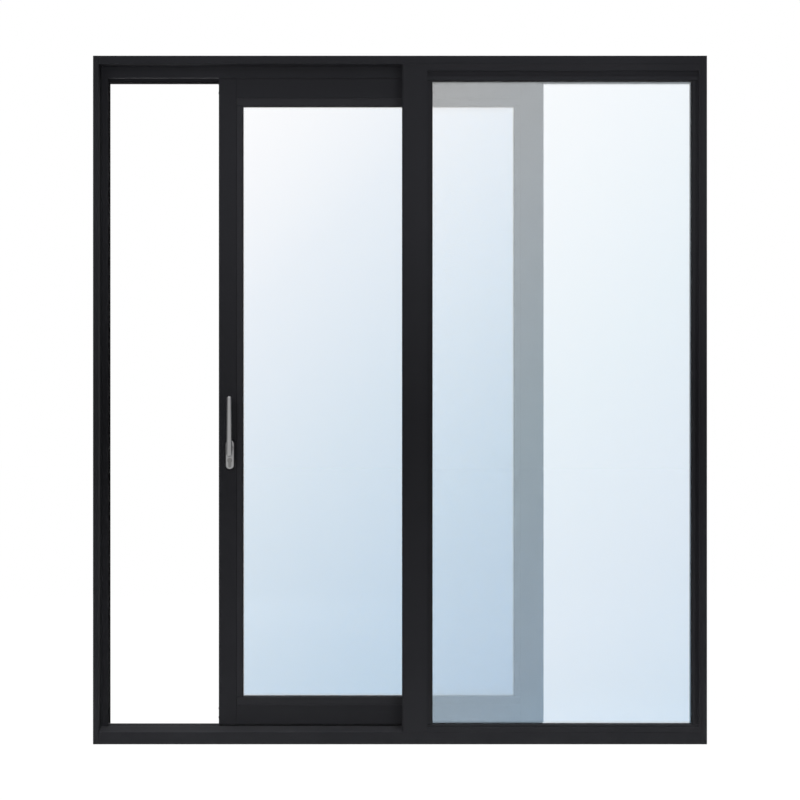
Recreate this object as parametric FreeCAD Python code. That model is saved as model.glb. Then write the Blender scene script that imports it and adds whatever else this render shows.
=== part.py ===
import FreeCAD, Part
import math
import os
from FreeCAD import Vector

# A glass sliding patio door: a fixed light glazed into an aluminium outer frame, and a sliding sash
# that runs on rollers behind it. X runs along the door, +Y from the handle side to the far side, +Z up.
# The origin is on the sill's bottom face, at the middle of the frame's width and depth. Millimetres.

# Outer frame
frame_width = 2140.0
frame_height = 2400.0
frame_depth = 160.0
wall = 2.0                      # wall of the aluminium extrusions
web_places = (-28.0, 25.0)      # depths of the stiffening webs inside jambs, head and sill
jamb_body = 20.0                # thickness of the jamb's hollow body
jamb_lip_reach = 25.0           # how far the pocket lips stand out of the jamb
head_body = 29.0
head_front_lip_drop = 40.0
head_rear_lip_drop = 53.0
sill_front_height = 42.0
sill_height = 54.0
sill_wall = 2.5
lip = 3.0                       # thickness of the pocket lips
pocket_front = -2.0             # depth at which the sash pocket starts
corner_bevel = 1.0              # on the outer corners of the profiles
fixing_radius = 5.0             # holes for the wall anchors
fixing_count = 4                # in each jamb, evenly spaced
fixing_inset = 300.0            # from the ends of the jamb to the first and last holes
drain_length = 30.0             # slots in the sill's rear wall that let rain water out
drain_height = 5.0
drain_level = 8.0
drain_count = 4
drain_inset = 220.0             # from the ends of the sill to the first and last slots

# Sash and its parked place
sash_width = 1141.0
closing_reach = 10.0            # how far the closed sash stands behind the left jamb's lips
parked_opening = 388.0          # clear gap between the left jamb and the sash as it stands
open_stop_gap = 11.0            # from the right jamb's lips to the sash when it is fully open
pocket_gap = 7.0                # from a pocket lip to the face of the sash
sill_gap = 5.5                  # from the sill to the underside of the sash
lift_out_gap = 23.0             # from the top of the sash to the head, for lifting it in and out
lock_stile_body = 63.0
meeting_stile_body = 79.0
top_rail_body = 87.0
bottom_rail_body = 68.5
rebate_flange = 3.0             # flange behind the glass
flange_set_back = 6.5           # how much lower the flange stands than the beads
upright_bead = 21.0
top_bead = 28.0
bottom_bead = 29.0
bead_set_back = 4.0             # from the face of the sash to the face of its beads
sash_glass_gap = 8.0            # from the bottom of the rebate to the edge of the glass

# Glass units and their gaskets
pane = 6.0
cavity = 16.0
spacer_width = 7.5
spacer_inset = 2.0
outer_gasket = 4.0
inner_gasket = 5.0
gasket_height = 7.0
gasket_lip = 2.0                # how far the outer gasket shows past the bead
gasket_end_gap = 0.5
bead_wall = 1.5
bead_chamfer = 3.0

# Fixed light
meeting_stile_width = 105.0
meeting_stile_lap = 99.0        # how much of it the closed sash stands behind
meeting_stile_chamfer = 5.0
fixed_zone_back = -12.0         # depth of the fixed light's rear faces
front_flange = 7.0              # depth of the adapters' front flange
adapter_base = 2.5
head_adapter_flange = 23.5      # height of the front flange under the head
sill_adapter_flange = 16.5
jamb_adapter_flange = 9.0
flange_bevel = 2.0
head_daylight = 56.5            # from the head's underside to the edge of the visible glass
sill_daylight = 26.5            # from the sill's front edge to the edge of the visible glass
jamb_daylight = 31.0
sill_rebate_height = 53.5       # level of the bottom of the fixed light's rebate
bead_front = -72.5
bead_step = -64.0               # the bead steps back to here between its nose and the flange
head_bead_nose = 16.0
jamb_bead_nose = 11.0
sill_bead_nose = 10.0
stile_bead_nose = 16.0
stile_front_lip = 4.0
fixed_glass_gap = 5.0
fixed_glass_sill_gap = 3.0
fixed_glass_head_gap = 20.0

# Interlock between the two meeting stiles
hook = 2.5                      # thickness of the hooked strips
hook_gap = 5.0                  # clearance round the engaged hooks
hook_overlap = 6.0
hook_end_gap = 11.0

# Track
rail_width = 8.0
rail_height = 6.0
rail_foot_width = 20.0
rail_foot = 1.5
guide_fin = 6.0
guide_fin_drop = 36.0
guide_foot_width = 24.0
guide_foot = 3.0
seal_clearance = 0.3
brush_width = 7.0

# Rollers, in the channel under the bottom rail
roller_channel_width = 24.0
roller_channel_depth = 47.5
stile_notch_height = 12.0
carriage_length = 150.0
carriage_plate = 2.0
carriage_top = 4.0
carriage_end_gap = 25.0         # from the stile to the end of the carriage
roller_clearance = 0.3
roller_groove_radius = 16.0
roller_radius = 19.5
roller_width = 16.0
roller_spacing = 90.0
axle_radius = 4.0
axle_clearance = 0.2

# Guide shoes, in the channel on top of the top rail
guide_channel_width = 30.0
guide_channel_depth = 28.0
shoe_length = 60.0
shoe_height = 26.0
shoe_floor = 10.0
shoe_clearance = 0.5
shoe_end_gap = 40.0

# Lock and handle
handle_inset = 39.0             # from the lock stile's edge to the spindle
handle_height = 1031.0
plate_width = 32.0
plate_below = 75.0              # from the spindle down to the lower end of the plate
plate_above = 29.0
plate_thickness = 9.0
plate_edge = 2.0
lever_stand_off = 32.0
lever_thickness = 12.0
lever_foot_radius = 10.5
lever_foot_below = 18.5         # from the spindle down to the centre of the lever's foot
lever_tip_radius = 7.5
lever_tip_above = 174.5         # from the spindle up to the centre of the lever's tip
lever_edge = 3.5
neck_radius = 9.5
neck_clearance = 0.3
spindle_side = 8.0
spindle_hole_radius = 7.5
cylinder_below = 43.0           # from the spindle down to the key cylinder
cylinder_radius = 8.5
cylinder_stem = 10.0
cylinder_drop = 24.5
cylinder_stand_out = 3.0
cylinder_clearance = 0.2
keyway_width = 2.0
keyway_height = 8.0
keyway_depth = 5.0
faceplate_width = 22.0
faceplate_thickness = 3.0
faceplate_inset = 290.0         # from the ends of the lock stile
faceplate_clearance = 0.2
gear_channel_width = 16.0
gear_channel_depth = 20.0
hook_bolt_count = 3             # evenly spaced along the faceplate
hook_bolt_inset = 210.0         # from the ends of the faceplate to the first and last bolts
hook_bolt_length = 40.0
hook_bolt_thickness = 8.0
hook_bolt_recess = 0.6
lock_slot_width = 10.0
lock_slot_length = 50.0
keeper_length = 120.0
keeper_thickness = 2.5
keeper_slot_width = 12.0
keeper_slot_length = 64.0
buffer_size = 14.0
buffer_bevel = 3.0
buffer_inset = 1.0              # from the top and the faces of the sash to the buffers

# Places worked out from the sizes above
front = -frame_depth / 2
back = frame_depth / 2
frame_left = -frame_width / 2
frame_right = frame_width / 2
left_pocket = frame_left + jamb_body
right_pocket = frame_right - jamb_body
left_lip_edge = left_pocket + jamb_lip_reach
right_lip_edge = right_pocket - jamb_lip_reach
soffit = frame_height - head_body
sash_front = pocket_front + lip + pocket_gap
sash_back = back - lip - pocket_gap
track = (sash_front + sash_back) / 2
sash_left = left_lip_edge + parked_opening
sash_right = sash_left + sash_width
sash_bottom = sill_height + sill_gap
sash_top = soffit - lift_out_gap
closed_right = left_lip_edge - closing_reach + sash_width
meeting_stile_left = closed_right - meeting_stile_lap
meeting_stile_right = meeting_stile_left + meeting_stile_width
rail_top = sill_height + rail_height
unit = 2 * pane + cavity
faceplate_bottom = sash_bottom + faceplate_inset
faceplate_top = sash_top - faceplate_inset


def evenly(low, high, count):
    return [low + (high - low) * i / (count - 1) for i in range(count)]


fixing_heights = evenly(fixing_inset, frame_height - fixing_inset, fixing_count)
hook_bolt_heights = evenly(faceplate_bottom + hook_bolt_inset, faceplate_top - hook_bolt_inset,
                           hook_bolt_count)


def polygon(points):
    return Part.makePolygon(points + [points[0]])


def bevelled_corners(points, size, corners):
    """An outline whose numbered corners are cut off, each by the same size along both of its sides."""
    outline = []
    for i, (across, along) in enumerate(points):
        if i not in corners:
            outline.append((across, along))
            continue
        for other in (points[i - 1], points[(i + 1) % len(points)]):
            step = (other[0] - across, other[1] - along)
            share = size / math.hypot(*step)
            outline.append((across + step[0] * share, along + step[1] * share))
    return outline


def extruded(outline, chambers, run):
    """A solid from a closed outline with closed chambers left out, pulled along run."""
    face = Part.makeFace([outline] + chambers, "Part::FaceMakerBullseye")
    return face.extrude(run).Solids[0]


def member(side, base, start, end, outline, chambers=()):
    """A straight profile. Its section is drawn in (depth, reach), where reach runs from base towards the
    middle of the door: up at the bottom, down at the top, and inwards at the left and right."""
    places = {
        "bottom": lambda y, w: Vector(start, y, base + w),
        "top": lambda y, w: Vector(start, y, base - w),
        "left": lambda y, w: Vector(base + w, y, start),
        "right": lambda y, w: Vector(base - w, y, start),
    }
    place = places[side]
    level = side in ("bottom", "top")
    run = Vector(end - start, 0, 0) if level else Vector(0, 0, end - start)
    wires = [polygon([place(y, w) for y, w in points]) for points in (outline, *chambers)]
    return extruded(wires[0], wires[1:], run)


def box(x0, x1, y0, y1, z0, z1):
    return Part.makeBox(x1 - x0, y1 - y0, z1 - z0, Vector(x0, y0, z0))


def rectangle(y0, y1, w0, w1):
    return [(y0, w0), (y1, w0), (y1, w1), (y0, w1)]


def rod(radius, start, direction, length):
    return Part.makeCylinder(radius, length, start, direction)


def cut_all(solid, tools):
    for tool in tools:
        solid = solid.cut(tool)
    return solid.Solids[0]


def save(name, *solids):
    shape = solids[0] if len(solids) == 1 else Part.makeCompound(list(solids))
    shape.exportStep(os.path.join("parts", name + ".step"))


# Outer frame: hollow extrusions, the head and sill fitted between the jambs

def body_chambers(reach, side_wall):
    """Three chambers side by side through the depth of a flat hollow body."""
    edges = [front + side_wall]
    for place in web_places:
        edges += [place - side_wall / 2, place + side_wall / 2]
    edges.append(back - side_wall)
    pairs = zip(edges[0::2], edges[1::2])
    return [rectangle(y0, y1, side_wall, reach - side_wall) for y0, y1 in pairs]


def jamb(side):
    base = frame_left if side == "left" else frame_right
    inward = 1 if side == "left" else -1
    outline = bevelled_corners(rectangle(front, back, 0, jamb_body), corner_bevel, range(4))
    body = member(side, base, 0, frame_height, outline, body_chambers(jamb_body, wall))
    reach = jamb_body + jamb_lip_reach
    for y0 in (pocket_front, back - lip):
        strip = rectangle(y0, y0 + lip, jamb_body, reach)
        body = body.fuse(member(side, base, sill_height, soffit, strip))
    holes = [rod(fixing_radius, Vector(base - inward, track, z), Vector(inward, 0, 0), jamb_body + 2)
             for z in fixing_heights]
    slots = []
    if side == "left":
        slots = [box(base + jamb_body / 2, base + jamb_body + 1,
                     track - keeper_slot_width / 2, track + keeper_slot_width / 2,
                     z - keeper_slot_length / 2, z + keeper_slot_length / 2)
                 for z in hook_bolt_heights]
    return cut_all(body.removeSplitter(), holes + slots)


def head():
    outline = bevelled_corners(rectangle(front, back, 0, head_body), corner_bevel, range(4))
    body = member("top", frame_height, left_pocket, right_pocket, outline, body_chambers(head_body, wall))
    lips = ((pocket_front, head_front_lip_drop), (back - lip, head_rear_lip_drop))
    for y0, drop in lips:
        strip = rectangle(y0, y0 + lip, head_body, head_body + drop)
        body = body.fuse(member("top", frame_height, left_lip_edge, right_lip_edge, strip))
    return body.removeSplitter().Solids[0]


def sill_surface(y):
    """Height of the sill's top: it slopes from its front edge to the track, and is level from there."""
    share = min(1.0, (y - front) / (pocket_front - front))
    return sill_front_height + (sill_height - sill_front_height) * share


def sill_outline():
    return [(front, 0), (back, 0), (back, sill_height), (pocket_front, sill_height),
            (front, sill_front_height)]


def sill():
    slope_wall = sill_wall * 1.1
    edges = [front + sill_wall]
    for place in web_places:
        edges += [place - sill_wall / 2, place + sill_wall / 2]
    edges.append(back - sill_wall)
    chambers = []
    for y0, y1 in zip(edges[0::2], edges[1::2]):
        top = [(y1, sill_surface(y1) - slope_wall)]
        if y0 < pocket_front < y1:
            top.append((pocket_front, sill_height - slope_wall))
        top.append((y0, sill_surface(y0) - slope_wall))
        chambers.append([(y0, sill_wall), (y1, sill_wall)] + top)
    outline = bevelled_corners(sill_outline(), corner_bevel, (0, 1, 2, 4))
    profile = member("bottom", 0, left_pocket, right_pocket, outline, chambers)
    places = evenly(left_pocket + drain_inset, right_pocket - drain_inset, drain_count)
    return cut_all(profile, [drain_slot(x) for x in places])


def drain_slot(x):
    """A slot with round ends through the sill's rear wall."""
    half = drain_height / 2
    reach = drain_length / 2 - half
    y0, y1 = back - sill_wall - 1, back + 1
    slot = box(x - reach, x + reach, y0, y1, drain_level - half, drain_level + half)
    for end in (x - reach, x + reach):
        slot = slot.fuse(rod(half, Vector(end, y0, drain_level), Vector(0, 1, 0), y1 - y0))
    return slot


# Track: a rounded running rail on the sill, and a guide fin under the head

def running_rail():
    half = rail_width / 2
    foot = rail_foot_width / 2
    x = left_pocket
    shoulder = rail_top - half

    def at(y, z):
        return Vector(x, track + y, z)

    points = [at(-half, shoulder), at(-half, sill_height + rail_foot), at(-foot, sill_height + rail_foot),
              at(-foot, sill_height), at(foot, sill_height), at(foot, sill_height + rail_foot),
              at(half, sill_height + rail_foot), at(half, shoulder)]
    edges = [Part.LineSegment(a, b).toShape() for a, b in zip(points, points[1:])]
    edges.append(Part.Arc(points[-1], at(0, rail_top), points[0]).toShape())
    return extruded(Part.Wire(edges), [], Vector(right_pocket - left_pocket, 0, 0))


def head_guide_rail():
    foot = guide_foot_width / 2
    half = guide_fin / 2
    outline = [(track - foot, 0), (track + foot, 0), (track + foot, guide_foot), (track + half, guide_foot),
               (track + half, guide_fin_drop), (track - half, guide_fin_drop), (track - half, guide_foot),
               (track - foot, guide_foot)]
    return member("top", soffit, left_pocket, right_pocket, outline)


# Fixed light: meeting stile, adapters and beads round the glass unit

stile_rebate = meeting_stile_right - stile_bead_nose - stile_front_lip
inner_flange_front = fixed_zone_back - rebate_flange
fixed_inner_gasket = inner_gasket + 1.0
fixed_glass_back = inner_flange_front - fixed_inner_gasket
fixed_glass_front = fixed_glass_back - unit
fixed_bead_back = fixed_glass_front - outer_gasket
fixed_glass = (stile_rebate + fixed_glass_gap, right_pocket - adapter_base - fixed_glass_gap,
               sill_rebate_height + fixed_glass_sill_gap, soffit - adapter_base - fixed_glass_head_gap)
fixed_daylight = (meeting_stile_right, right_pocket - jamb_daylight,
                  sill_front_height + sill_daylight, soffit - head_daylight)


def sill_envelope():
    return member("bottom", 0, left_pocket, right_pocket, sill_outline())


def meeting_stile_outline():
    left, corner = meeting_stile_left, meeting_stile_chamfer
    flange_edge = meeting_stile_right - flange_set_back
    return [(left, fixed_zone_back), (left, front + corner), (left + corner, front),
            (stile_rebate + stile_front_lip, front), (stile_rebate + stile_front_lip, front + lip),
            (stile_rebate, front + lip), (stile_rebate, inner_flange_front),
            (flange_edge, inner_flange_front), (flange_edge, fixed_zone_back)]


def upright(points, chambers, z0, z1):
    wires = [polygon([Vector(x, y, z0) for x, y in outline]) for outline in [points] + chambers]
    return extruded(wires[0], wires[1:], Vector(0, 0, z1 - z0))


def fixed_meeting_stile(hollow=True):
    left = meeting_stile_left + wall
    right = stile_rebate - wall
    middle = (left + right) / 2
    y0 = front + meeting_stile_chamfer + wall / 2
    y1 = fixed_zone_back - wall
    chambers = [[(x0, y0), (x1, y0), (x1, y1), (x0, y1)]
                for x0, x1 in ((left, middle - wall / 2), (middle + wall / 2, right))]
    stile = upright(meeting_stile_outline(), chambers if hollow else [], 0, soffit)
    return stile.cut(sill_envelope()).Solids[0]


def adapter_outline(flange, daylight):
    rear = daylight - flange_set_back
    points = [(front, 0), (fixed_zone_back, 0), (fixed_zone_back, rear),
              (inner_flange_front, rear), (inner_flange_front, adapter_base),
              (front + front_flange, adapter_base), (front + front_flange, flange), (front, flange)]
    return bevelled_corners(points, flange_bevel, [7])


def adapters():
    """The three profiles that make the outer frame into a glazing rebate: head, sill and jamb."""
    stile = fixed_meeting_stile(hollow=False)
    top = member("top", soffit, stile_rebate, right_pocket,
                 adapter_outline(head_adapter_flange, head_daylight))
    flange_top = sill_front_height + sill_adapter_flange
    rear = sill_front_height + sill_daylight - flange_set_back
    outline = [(front, sill_surface(front)), (fixed_zone_back, sill_surface(fixed_zone_back)),
               (fixed_zone_back, rear), (inner_flange_front, rear),
               (inner_flange_front, sill_rebate_height), (front + front_flange, sill_rebate_height),
               (front + front_flange, flange_top), (front, flange_top)]
    bottom = member("bottom", 0, stile_rebate, right_pocket,
                    bevelled_corners(outline, flange_bevel, [7]))
    side = member("right", right_pocket, sill_height, soffit,
                  adapter_outline(jamb_adapter_flange, jamb_daylight))
    lower = member("right", right_pocket, 0, sill_height,
                   adapter_outline(jamb_adapter_flange, jamb_daylight)).cut(sill_envelope())
    side = side.fuse(lower).removeSplitter()
    top_full = member("top", soffit, stile_rebate, right_pocket,
                      rectangle(front, fixed_zone_back, 0, adapter_base))
    top = cut_all(top, [stile])
    bottom = cut_all(bottom, [stile])
    return top, bottom, cut_all(side, [top, bottom, top_full])


def bead_outline(base, edge, nose):
    """An L-shaped clip-in bead: a foot on the rebate, and a nose along the visible edge of the glass."""
    return [(bead_step, base), (fixed_bead_back, base), (fixed_bead_back, edge),
            (bead_front + bead_chamfer, edge), (bead_front, edge - bead_chamfer),
            (bead_front, edge - nose), (bead_step, edge - nose)]


def fixed_beads():
    x0, x1, z0, z1 = fixed_daylight
    clear = stile_rebate, right_pocket - adapter_base
    head_bead = member("top", soffit, clear[0], clear[1],
                       bead_outline(adapter_base, head_daylight, head_bead_nose),
                       [rectangle(bead_step + bead_wall, fixed_bead_back - bead_wall,
                                  adapter_base + bead_wall, head_daylight - bead_wall)])
    edge = z0
    sill_bead = member("bottom", 0, clear[0], clear[1],
                       [(bead_front, edge - sill_bead_nose), (bead_step, edge - sill_bead_nose),
                        (bead_step, sill_rebate_height), (fixed_bead_back, sill_rebate_height),
                        (fixed_bead_back, edge), (bead_front + bead_chamfer, edge),
                        (bead_front, edge - bead_chamfer)])
    jamb_bead = member("right", right_pocket, sill_rebate_height, soffit - adapter_base,
                       bead_outline(adapter_base, jamb_daylight, jamb_bead_nose),
                       [rectangle(bead_step + bead_wall, fixed_bead_back - bead_wall,
                                  adapter_base + bead_wall, jamb_daylight - bead_wall)])
    reach = meeting_stile_right - stile_rebate
    stile_bead = member("left", stile_rebate, sill_rebate_height, soffit - adapter_base,
                        bead_outline(0, reach, stile_bead_nose),
                        [rectangle(bead_step + bead_wall, fixed_bead_back - bead_wall,
                                   bead_wall, reach - bead_wall)])
    head_block = member("top", soffit, clear[0], clear[1],
                        rectangle(bead_front, fixed_bead_back, 0, head_daylight))
    sill_block = member("bottom", 0, clear[0], clear[1],
                        rectangle(bead_front, fixed_bead_back, 0, edge))
    uprights = [cut_all(bead, [head_block, sill_block]) for bead in (jamb_bead, stile_bead)]
    return head_bead, sill_bead, uprights[0], uprights[1]


def glass_panes(area, y0):
    x0, x1, z0, z1 = area
    outer = box(x0, x1, y0, y0 + pane, z0, z1)
    inner = box(x0, x1, y0 + pane + cavity, y0 + unit, z0, z1)
    return outer, inner


def ring_of_strips(area, y0, y1, thickness, inset, gap):
    """Four strips just inside a rectangle, the uprights between the level ones and clear of them."""
    x0, x1, z0, z1 = area
    x0, x1, z0, z1 = x0 + inset, x1 - inset, z0 + inset, z1 - inset
    return [box(x0, x1, y0, y1, z0, z0 + thickness),
            box(x0, x1, y0, y1, z1 - thickness, z1),
            box(x0, x0 + thickness, y0, y1, z0 + thickness + gap, z1 - thickness - gap),
            box(x1 - thickness, x1, y0, y1, z0 + thickness + gap, z1 - thickness - gap)]


def spacer_bars(area, y0):
    return ring_of_strips(area, y0 + pane, y0 + pane + cavity, spacer_width, spacer_inset, gasket_end_gap)


def gaskets(daylight, glass_front, bead_side, flange_side):
    """Black strips that grip the glass unit. The outer ones show past the beads, and the inner ones are
    flush with the flange behind the glass."""
    outer_grip = gasket_height
    inner_grip = gasket_height + flange_set_back
    outer, inner = [(daylight[0] - grip, daylight[1] + grip, daylight[2] - grip, daylight[3] + grip)
                    for grip in (outer_grip, inner_grip)]
    return (ring_of_strips(outer, bead_side, glass_front, gasket_height + gasket_lip, 0, gasket_end_gap)
            + ring_of_strips(inner, glass_front + unit, flange_side, gasket_height, 0, gasket_end_gap))


# Interlock: a hooked strip on each meeting stile, which catch when the sash is closed

fixed_hook_web = closed_right - 2 * hook - 2 * hook_gap - hook_overlap
hook_bottom = sash_bottom + hook_end_gap
hook_top = soffit - head_front_lip_drop - hook_end_gap


def fixed_interlock():
    web, tip = fixed_hook_web, fixed_hook_web + hook + hook_gap + hook_overlap
    lip_back = sash_front - hook_gap
    foot = web - 20.0
    outline = [(foot, fixed_zone_back), (web + hook, fixed_zone_back), (web + hook, lip_back - hook),
               (tip, lip_back - hook), (tip, lip_back), (web, lip_back), (web, fixed_zone_back + hook),
               (foot, fixed_zone_back + hook)]
    return upright(outline, [], hook_bottom, hook_top)


def meeting_seal():
    tip = fixed_hook_web + hook + hook_gap + hook_overlap
    lip_back = sash_front - hook_gap
    return box(tip - brush_width, tip, lip_back, sash_front - seal_clearance, hook_bottom, hook_top)


def sash_interlock():
    tip = sash_right - hook - hook_gap - hook_overlap
    lip_front = fixed_zone_back + hook_gap
    edge = sash_right - hook
    outline = [(tip, lip_front), (sash_right, lip_front), (sash_right, sash_back), (edge, sash_back),
               (edge, lip_front + hook), (tip, lip_front + hook)]
    return upright(outline, [], hook_bottom, hook_top)


# Sliding sash: stiles run full height, rails fit between them

lock_rebate = sash_left + lock_stile_body
meeting_face = sash_right - hook
meeting_rebate = meeting_face - meeting_stile_body
top_rebate = sash_top - top_rail_body
bottom_rebate = sash_bottom + bottom_rail_body
sash_flange_front = sash_back - rebate_flange
sash_glass_back = sash_flange_front - inner_gasket
sash_glass_front = sash_glass_back - unit
sash_bead_back = sash_glass_front - outer_gasket
sash_bead_front = sash_front + bead_set_back
sash_daylight = (lock_rebate + upright_bead, meeting_rebate - upright_bead,
                 bottom_rebate + bottom_bead, top_rebate - top_bead)
sash_glass = (lock_rebate + sash_glass_gap, meeting_rebate - sash_glass_gap,
              bottom_rebate + sash_glass_gap, top_rebate - sash_glass_gap)
handle_x = sash_left + handle_inset
cylinder_z = handle_height - cylinder_below


def stile_copes(x0, x1):
    """Beside the rails a stile's rear flange is coped away, so that the rails butt against its body."""
    y0, y1 = sash_flange_front, sash_back + 1
    return [box(x0, x1, y0, y1, sash_bottom - 1, bottom_rebate),
            box(x0, x1, y0, y1, top_rebate, sash_top + 1)]


def stile_notches():
    """The guide channel and the roller channel run on through the ends of the stiles."""
    x0, x1 = sash_left - 1, sash_right + 1
    guide, roller = guide_channel_width / 2, roller_channel_width / 2
    return [box(x0, x1, track - guide, track + guide, sash_top - guide_channel_depth, sash_top + 1),
            box(x0, x1, track - roller, track + roller, sash_bottom - 1, sash_bottom + stile_notch_height)]


def euro_profile(clearance, y0, y1):
    """The keyhole-shaped section of a lock cylinder: a round barrel with a stem below it."""
    radius = cylinder_radius + clearance
    half = cylinder_stem / 2 + clearance
    foot = Vector(handle_x, y0, cylinder_z - cylinder_drop + cylinder_stem / 2)
    across = Vector(0, 1, 0)
    barrel = rod(radius, Vector(handle_x, y0, cylinder_z), across, y1 - y0)
    stem = box(handle_x - half, handle_x + half, y0, y1, foot.z, cylinder_z)
    end = rod(half, foot, across, y1 - y0)
    return barrel.fuse(stem).fuse(end).removeSplitter().Solids[0]


def sash_lock_stile():
    groove = gear_channel_width / 2
    recess = faceplate_width / 2 + faceplate_clearance
    plate = faceplate_thickness + faceplate_clearance
    reach = lock_stile_body + upright_bead - flange_set_back
    outline = [(sash_front, 0), (sash_front, lock_stile_body), (sash_flange_front, lock_stile_body),
               (sash_flange_front, reach), (sash_back, reach), (sash_back, 0),
               (track + recess, 0), (track + recess, plate), (track + groove, plate),
               (track + groove, gear_channel_depth), (track - groove, gear_channel_depth),
               (track - groove, plate), (track - recess, plate), (track - recess, 0)]
    inner = gear_channel_depth + wall
    side = recess + wall
    chambers = [rectangle(sash_front + wall, track - side, wall, gear_channel_depth),
                rectangle(track + side, sash_back - wall, wall, gear_channel_depth),
                rectangle(sash_front + wall, sash_back - wall, inner, lock_stile_body - wall)]
    outline = bevelled_corners(outline, corner_bevel, (0, 1, 4, 5))
    stile = member("left", sash_left, sash_bottom, sash_top, outline, chambers)
    spindle = rod(spindle_hole_radius, Vector(handle_x, sash_front - 1, handle_height),
                  Vector(0, 1, 0), sash_back - sash_front + 2)
    keyhole = euro_profile(cylinder_clearance, sash_front - 1, sash_back + 1)
    copes = stile_copes(lock_rebate, lock_rebate + upright_bead + 1)
    return cut_all(stile, stile_notches() + copes + [spindle, keyhole])


def sash_meeting_stile():
    reach = meeting_stile_body + upright_bead - flange_set_back
    outline = [(sash_front, 0), (sash_back, 0), (sash_back, reach), (sash_flange_front, reach),
               (sash_flange_front, meeting_stile_body), (sash_front, meeting_stile_body)]
    outline = bevelled_corners(outline, corner_bevel, (2, 5))
    middle = meeting_stile_body / 2
    chambers = [rectangle(sash_front + wall, sash_back - wall, w0, w1)
                for w0, w1 in ((wall, middle - wall / 2), (middle + wall / 2, meeting_stile_body - wall))]
    stile = member("right", meeting_face, sash_bottom, sash_top, outline, chambers)
    copes = stile_copes(meeting_rebate - upright_bead - 1, meeting_rebate)
    return cut_all(stile, stile_notches() + copes)


def rail_profile(side, base, body, bead, channel_width, channel_depth):
    """A sash rail: a hollow body with a channel along its outer edge, and a flange behind the glass."""
    channel = channel_width / 2
    reach = body + bead - flange_set_back
    outline = [(sash_front, 0), (track - channel, 0), (track - channel, channel_depth),
               (track + channel, channel_depth), (track + channel, 0), (sash_back, 0),
               (sash_back, reach), (sash_flange_front, reach), (sash_flange_front, body),
               (sash_front, body)]
    outline = bevelled_corners(outline, corner_bevel, (0, 5, 6, 9))
    chambers = [rectangle(sash_front + wall, track - channel - wall, wall, body - wall),
                rectangle(track + channel + wall, sash_back - wall, wall, body - wall),
                rectangle(track - channel, track + channel, channel_depth + wall, body - wall)]
    rail = member(side, base, lock_rebate, meeting_rebate, outline, chambers)
    return trim_rail_flange(rail)


def trim_rail_flange(rail):
    """The stiles' flanges run through, so the rails' flanges stop against them."""
    x0, x1 = sash_daylight[0] - flange_set_back, sash_daylight[1] + flange_set_back
    y0, y1 = sash_flange_front, sash_back
    ends = [box(lock_rebate, x0, y0, y1, bottom_rebate, top_rebate),
            box(x1, meeting_rebate, y0, y1, bottom_rebate, top_rebate)]
    return cut_all(rail, ends)


def sash_bead(side, base, start, end, bead):
    outline = [(sash_bead_front, 0), (sash_bead_back, 0), (sash_bead_back, bead),
               (sash_bead_front + bead_chamfer, bead), (sash_bead_front, bead - bead_chamfer)]
    inside = bead_wall + bead_chamfer / 2
    chamber = rectangle(sash_bead_front + inside, sash_bead_back - bead_wall, bead_wall, bead - bead_wall)
    return member(side, base, start, end, outline, [chamber])


def sash_beads():
    x0, x1, z0, z1 = sash_daylight
    level = [sash_bead("bottom", bottom_rebate, lock_rebate, meeting_rebate, bottom_bead),
             sash_bead("top", top_rebate, lock_rebate, meeting_rebate, top_bead)]
    standing = [sash_bead("left", lock_rebate, z0, z1, upright_bead),
                sash_bead("right", meeting_rebate, z0, z1, upright_bead)]
    return level, standing


# Running gear

def carriage_centres():
    inset = carriage_end_gap + carriage_length / 2
    return lock_rebate + inset, meeting_rebate - inset


def roller_axles():
    """Axle height and places: each roller rides on the rail with a hair of clearance."""
    z = rail_top + roller_clearance + roller_groove_radius
    offsets = (-roller_spacing / 2, roller_spacing / 2)
    return z, [x + offset for x in carriage_centres() for offset in offsets]


def roller_carriage(x):
    half = roller_channel_width / 2
    ceiling = sash_bottom + roller_channel_depth
    x0, x1 = x - carriage_length / 2, x + carriage_length / 2
    z_axle, axles = roller_axles()
    floor = z_axle - 2 * axle_radius
    inside = half - carriage_plate
    bracket = box(x0, x1, track - half, track + half, floor, ceiling)
    bracket = bracket.cut(box(x0, x1, track - inside, track + inside, floor, ceiling - carriage_top))
    for axle_x in axles:
        if x0 < axle_x < x1:
            start = Vector(axle_x, track - half, z_axle)
            bracket = bracket.fuse(rod(axle_radius, start, Vector(0, 1, 0), roller_channel_width))
    return bracket.removeSplitter().Solids[0]


def roller(x, z):
    """A wheel with a groove whose floor and 45 degree flanks lie round the rounded top of the rail."""
    floor = (rail_width / 2 + roller_clearance) * math.tan(math.pi / 8)
    rim = floor + roller_radius - roller_groove_radius
    half = roller_width / 2
    bore = axle_radius + axle_clearance
    points = [(floor, roller_groove_radius), (rim, roller_radius), (half, roller_radius), (half, bore),
              (-half, bore), (-half, roller_radius), (-rim, roller_radius), (-floor, roller_groove_radius)]
    section = Part.Face(polygon([Vector(x, track + y, z + r) for y, r in points]))
    return section.revolve(Vector(x, track, z), Vector(0, 1, 0), 360).Solids[0]


def guide_shoe(x0):
    channel = guide_channel_width / 2
    slot = guide_fin / 2 + shoe_clearance
    floor = sash_top - guide_channel_depth
    block = box(x0, x0 + shoe_length, track - channel, track + channel, floor, floor + shoe_height)
    return block.cut(box(x0, x0 + shoe_length, track - slot, track + slot,
                         floor + shoe_floor, floor + shoe_height)).Solids[0]


def guide_shoes():
    return [guide_shoe(lock_rebate + shoe_end_gap),
            guide_shoe(meeting_rebate - shoe_end_gap - shoe_length)]


# Seals, lock parts and buffers

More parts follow.
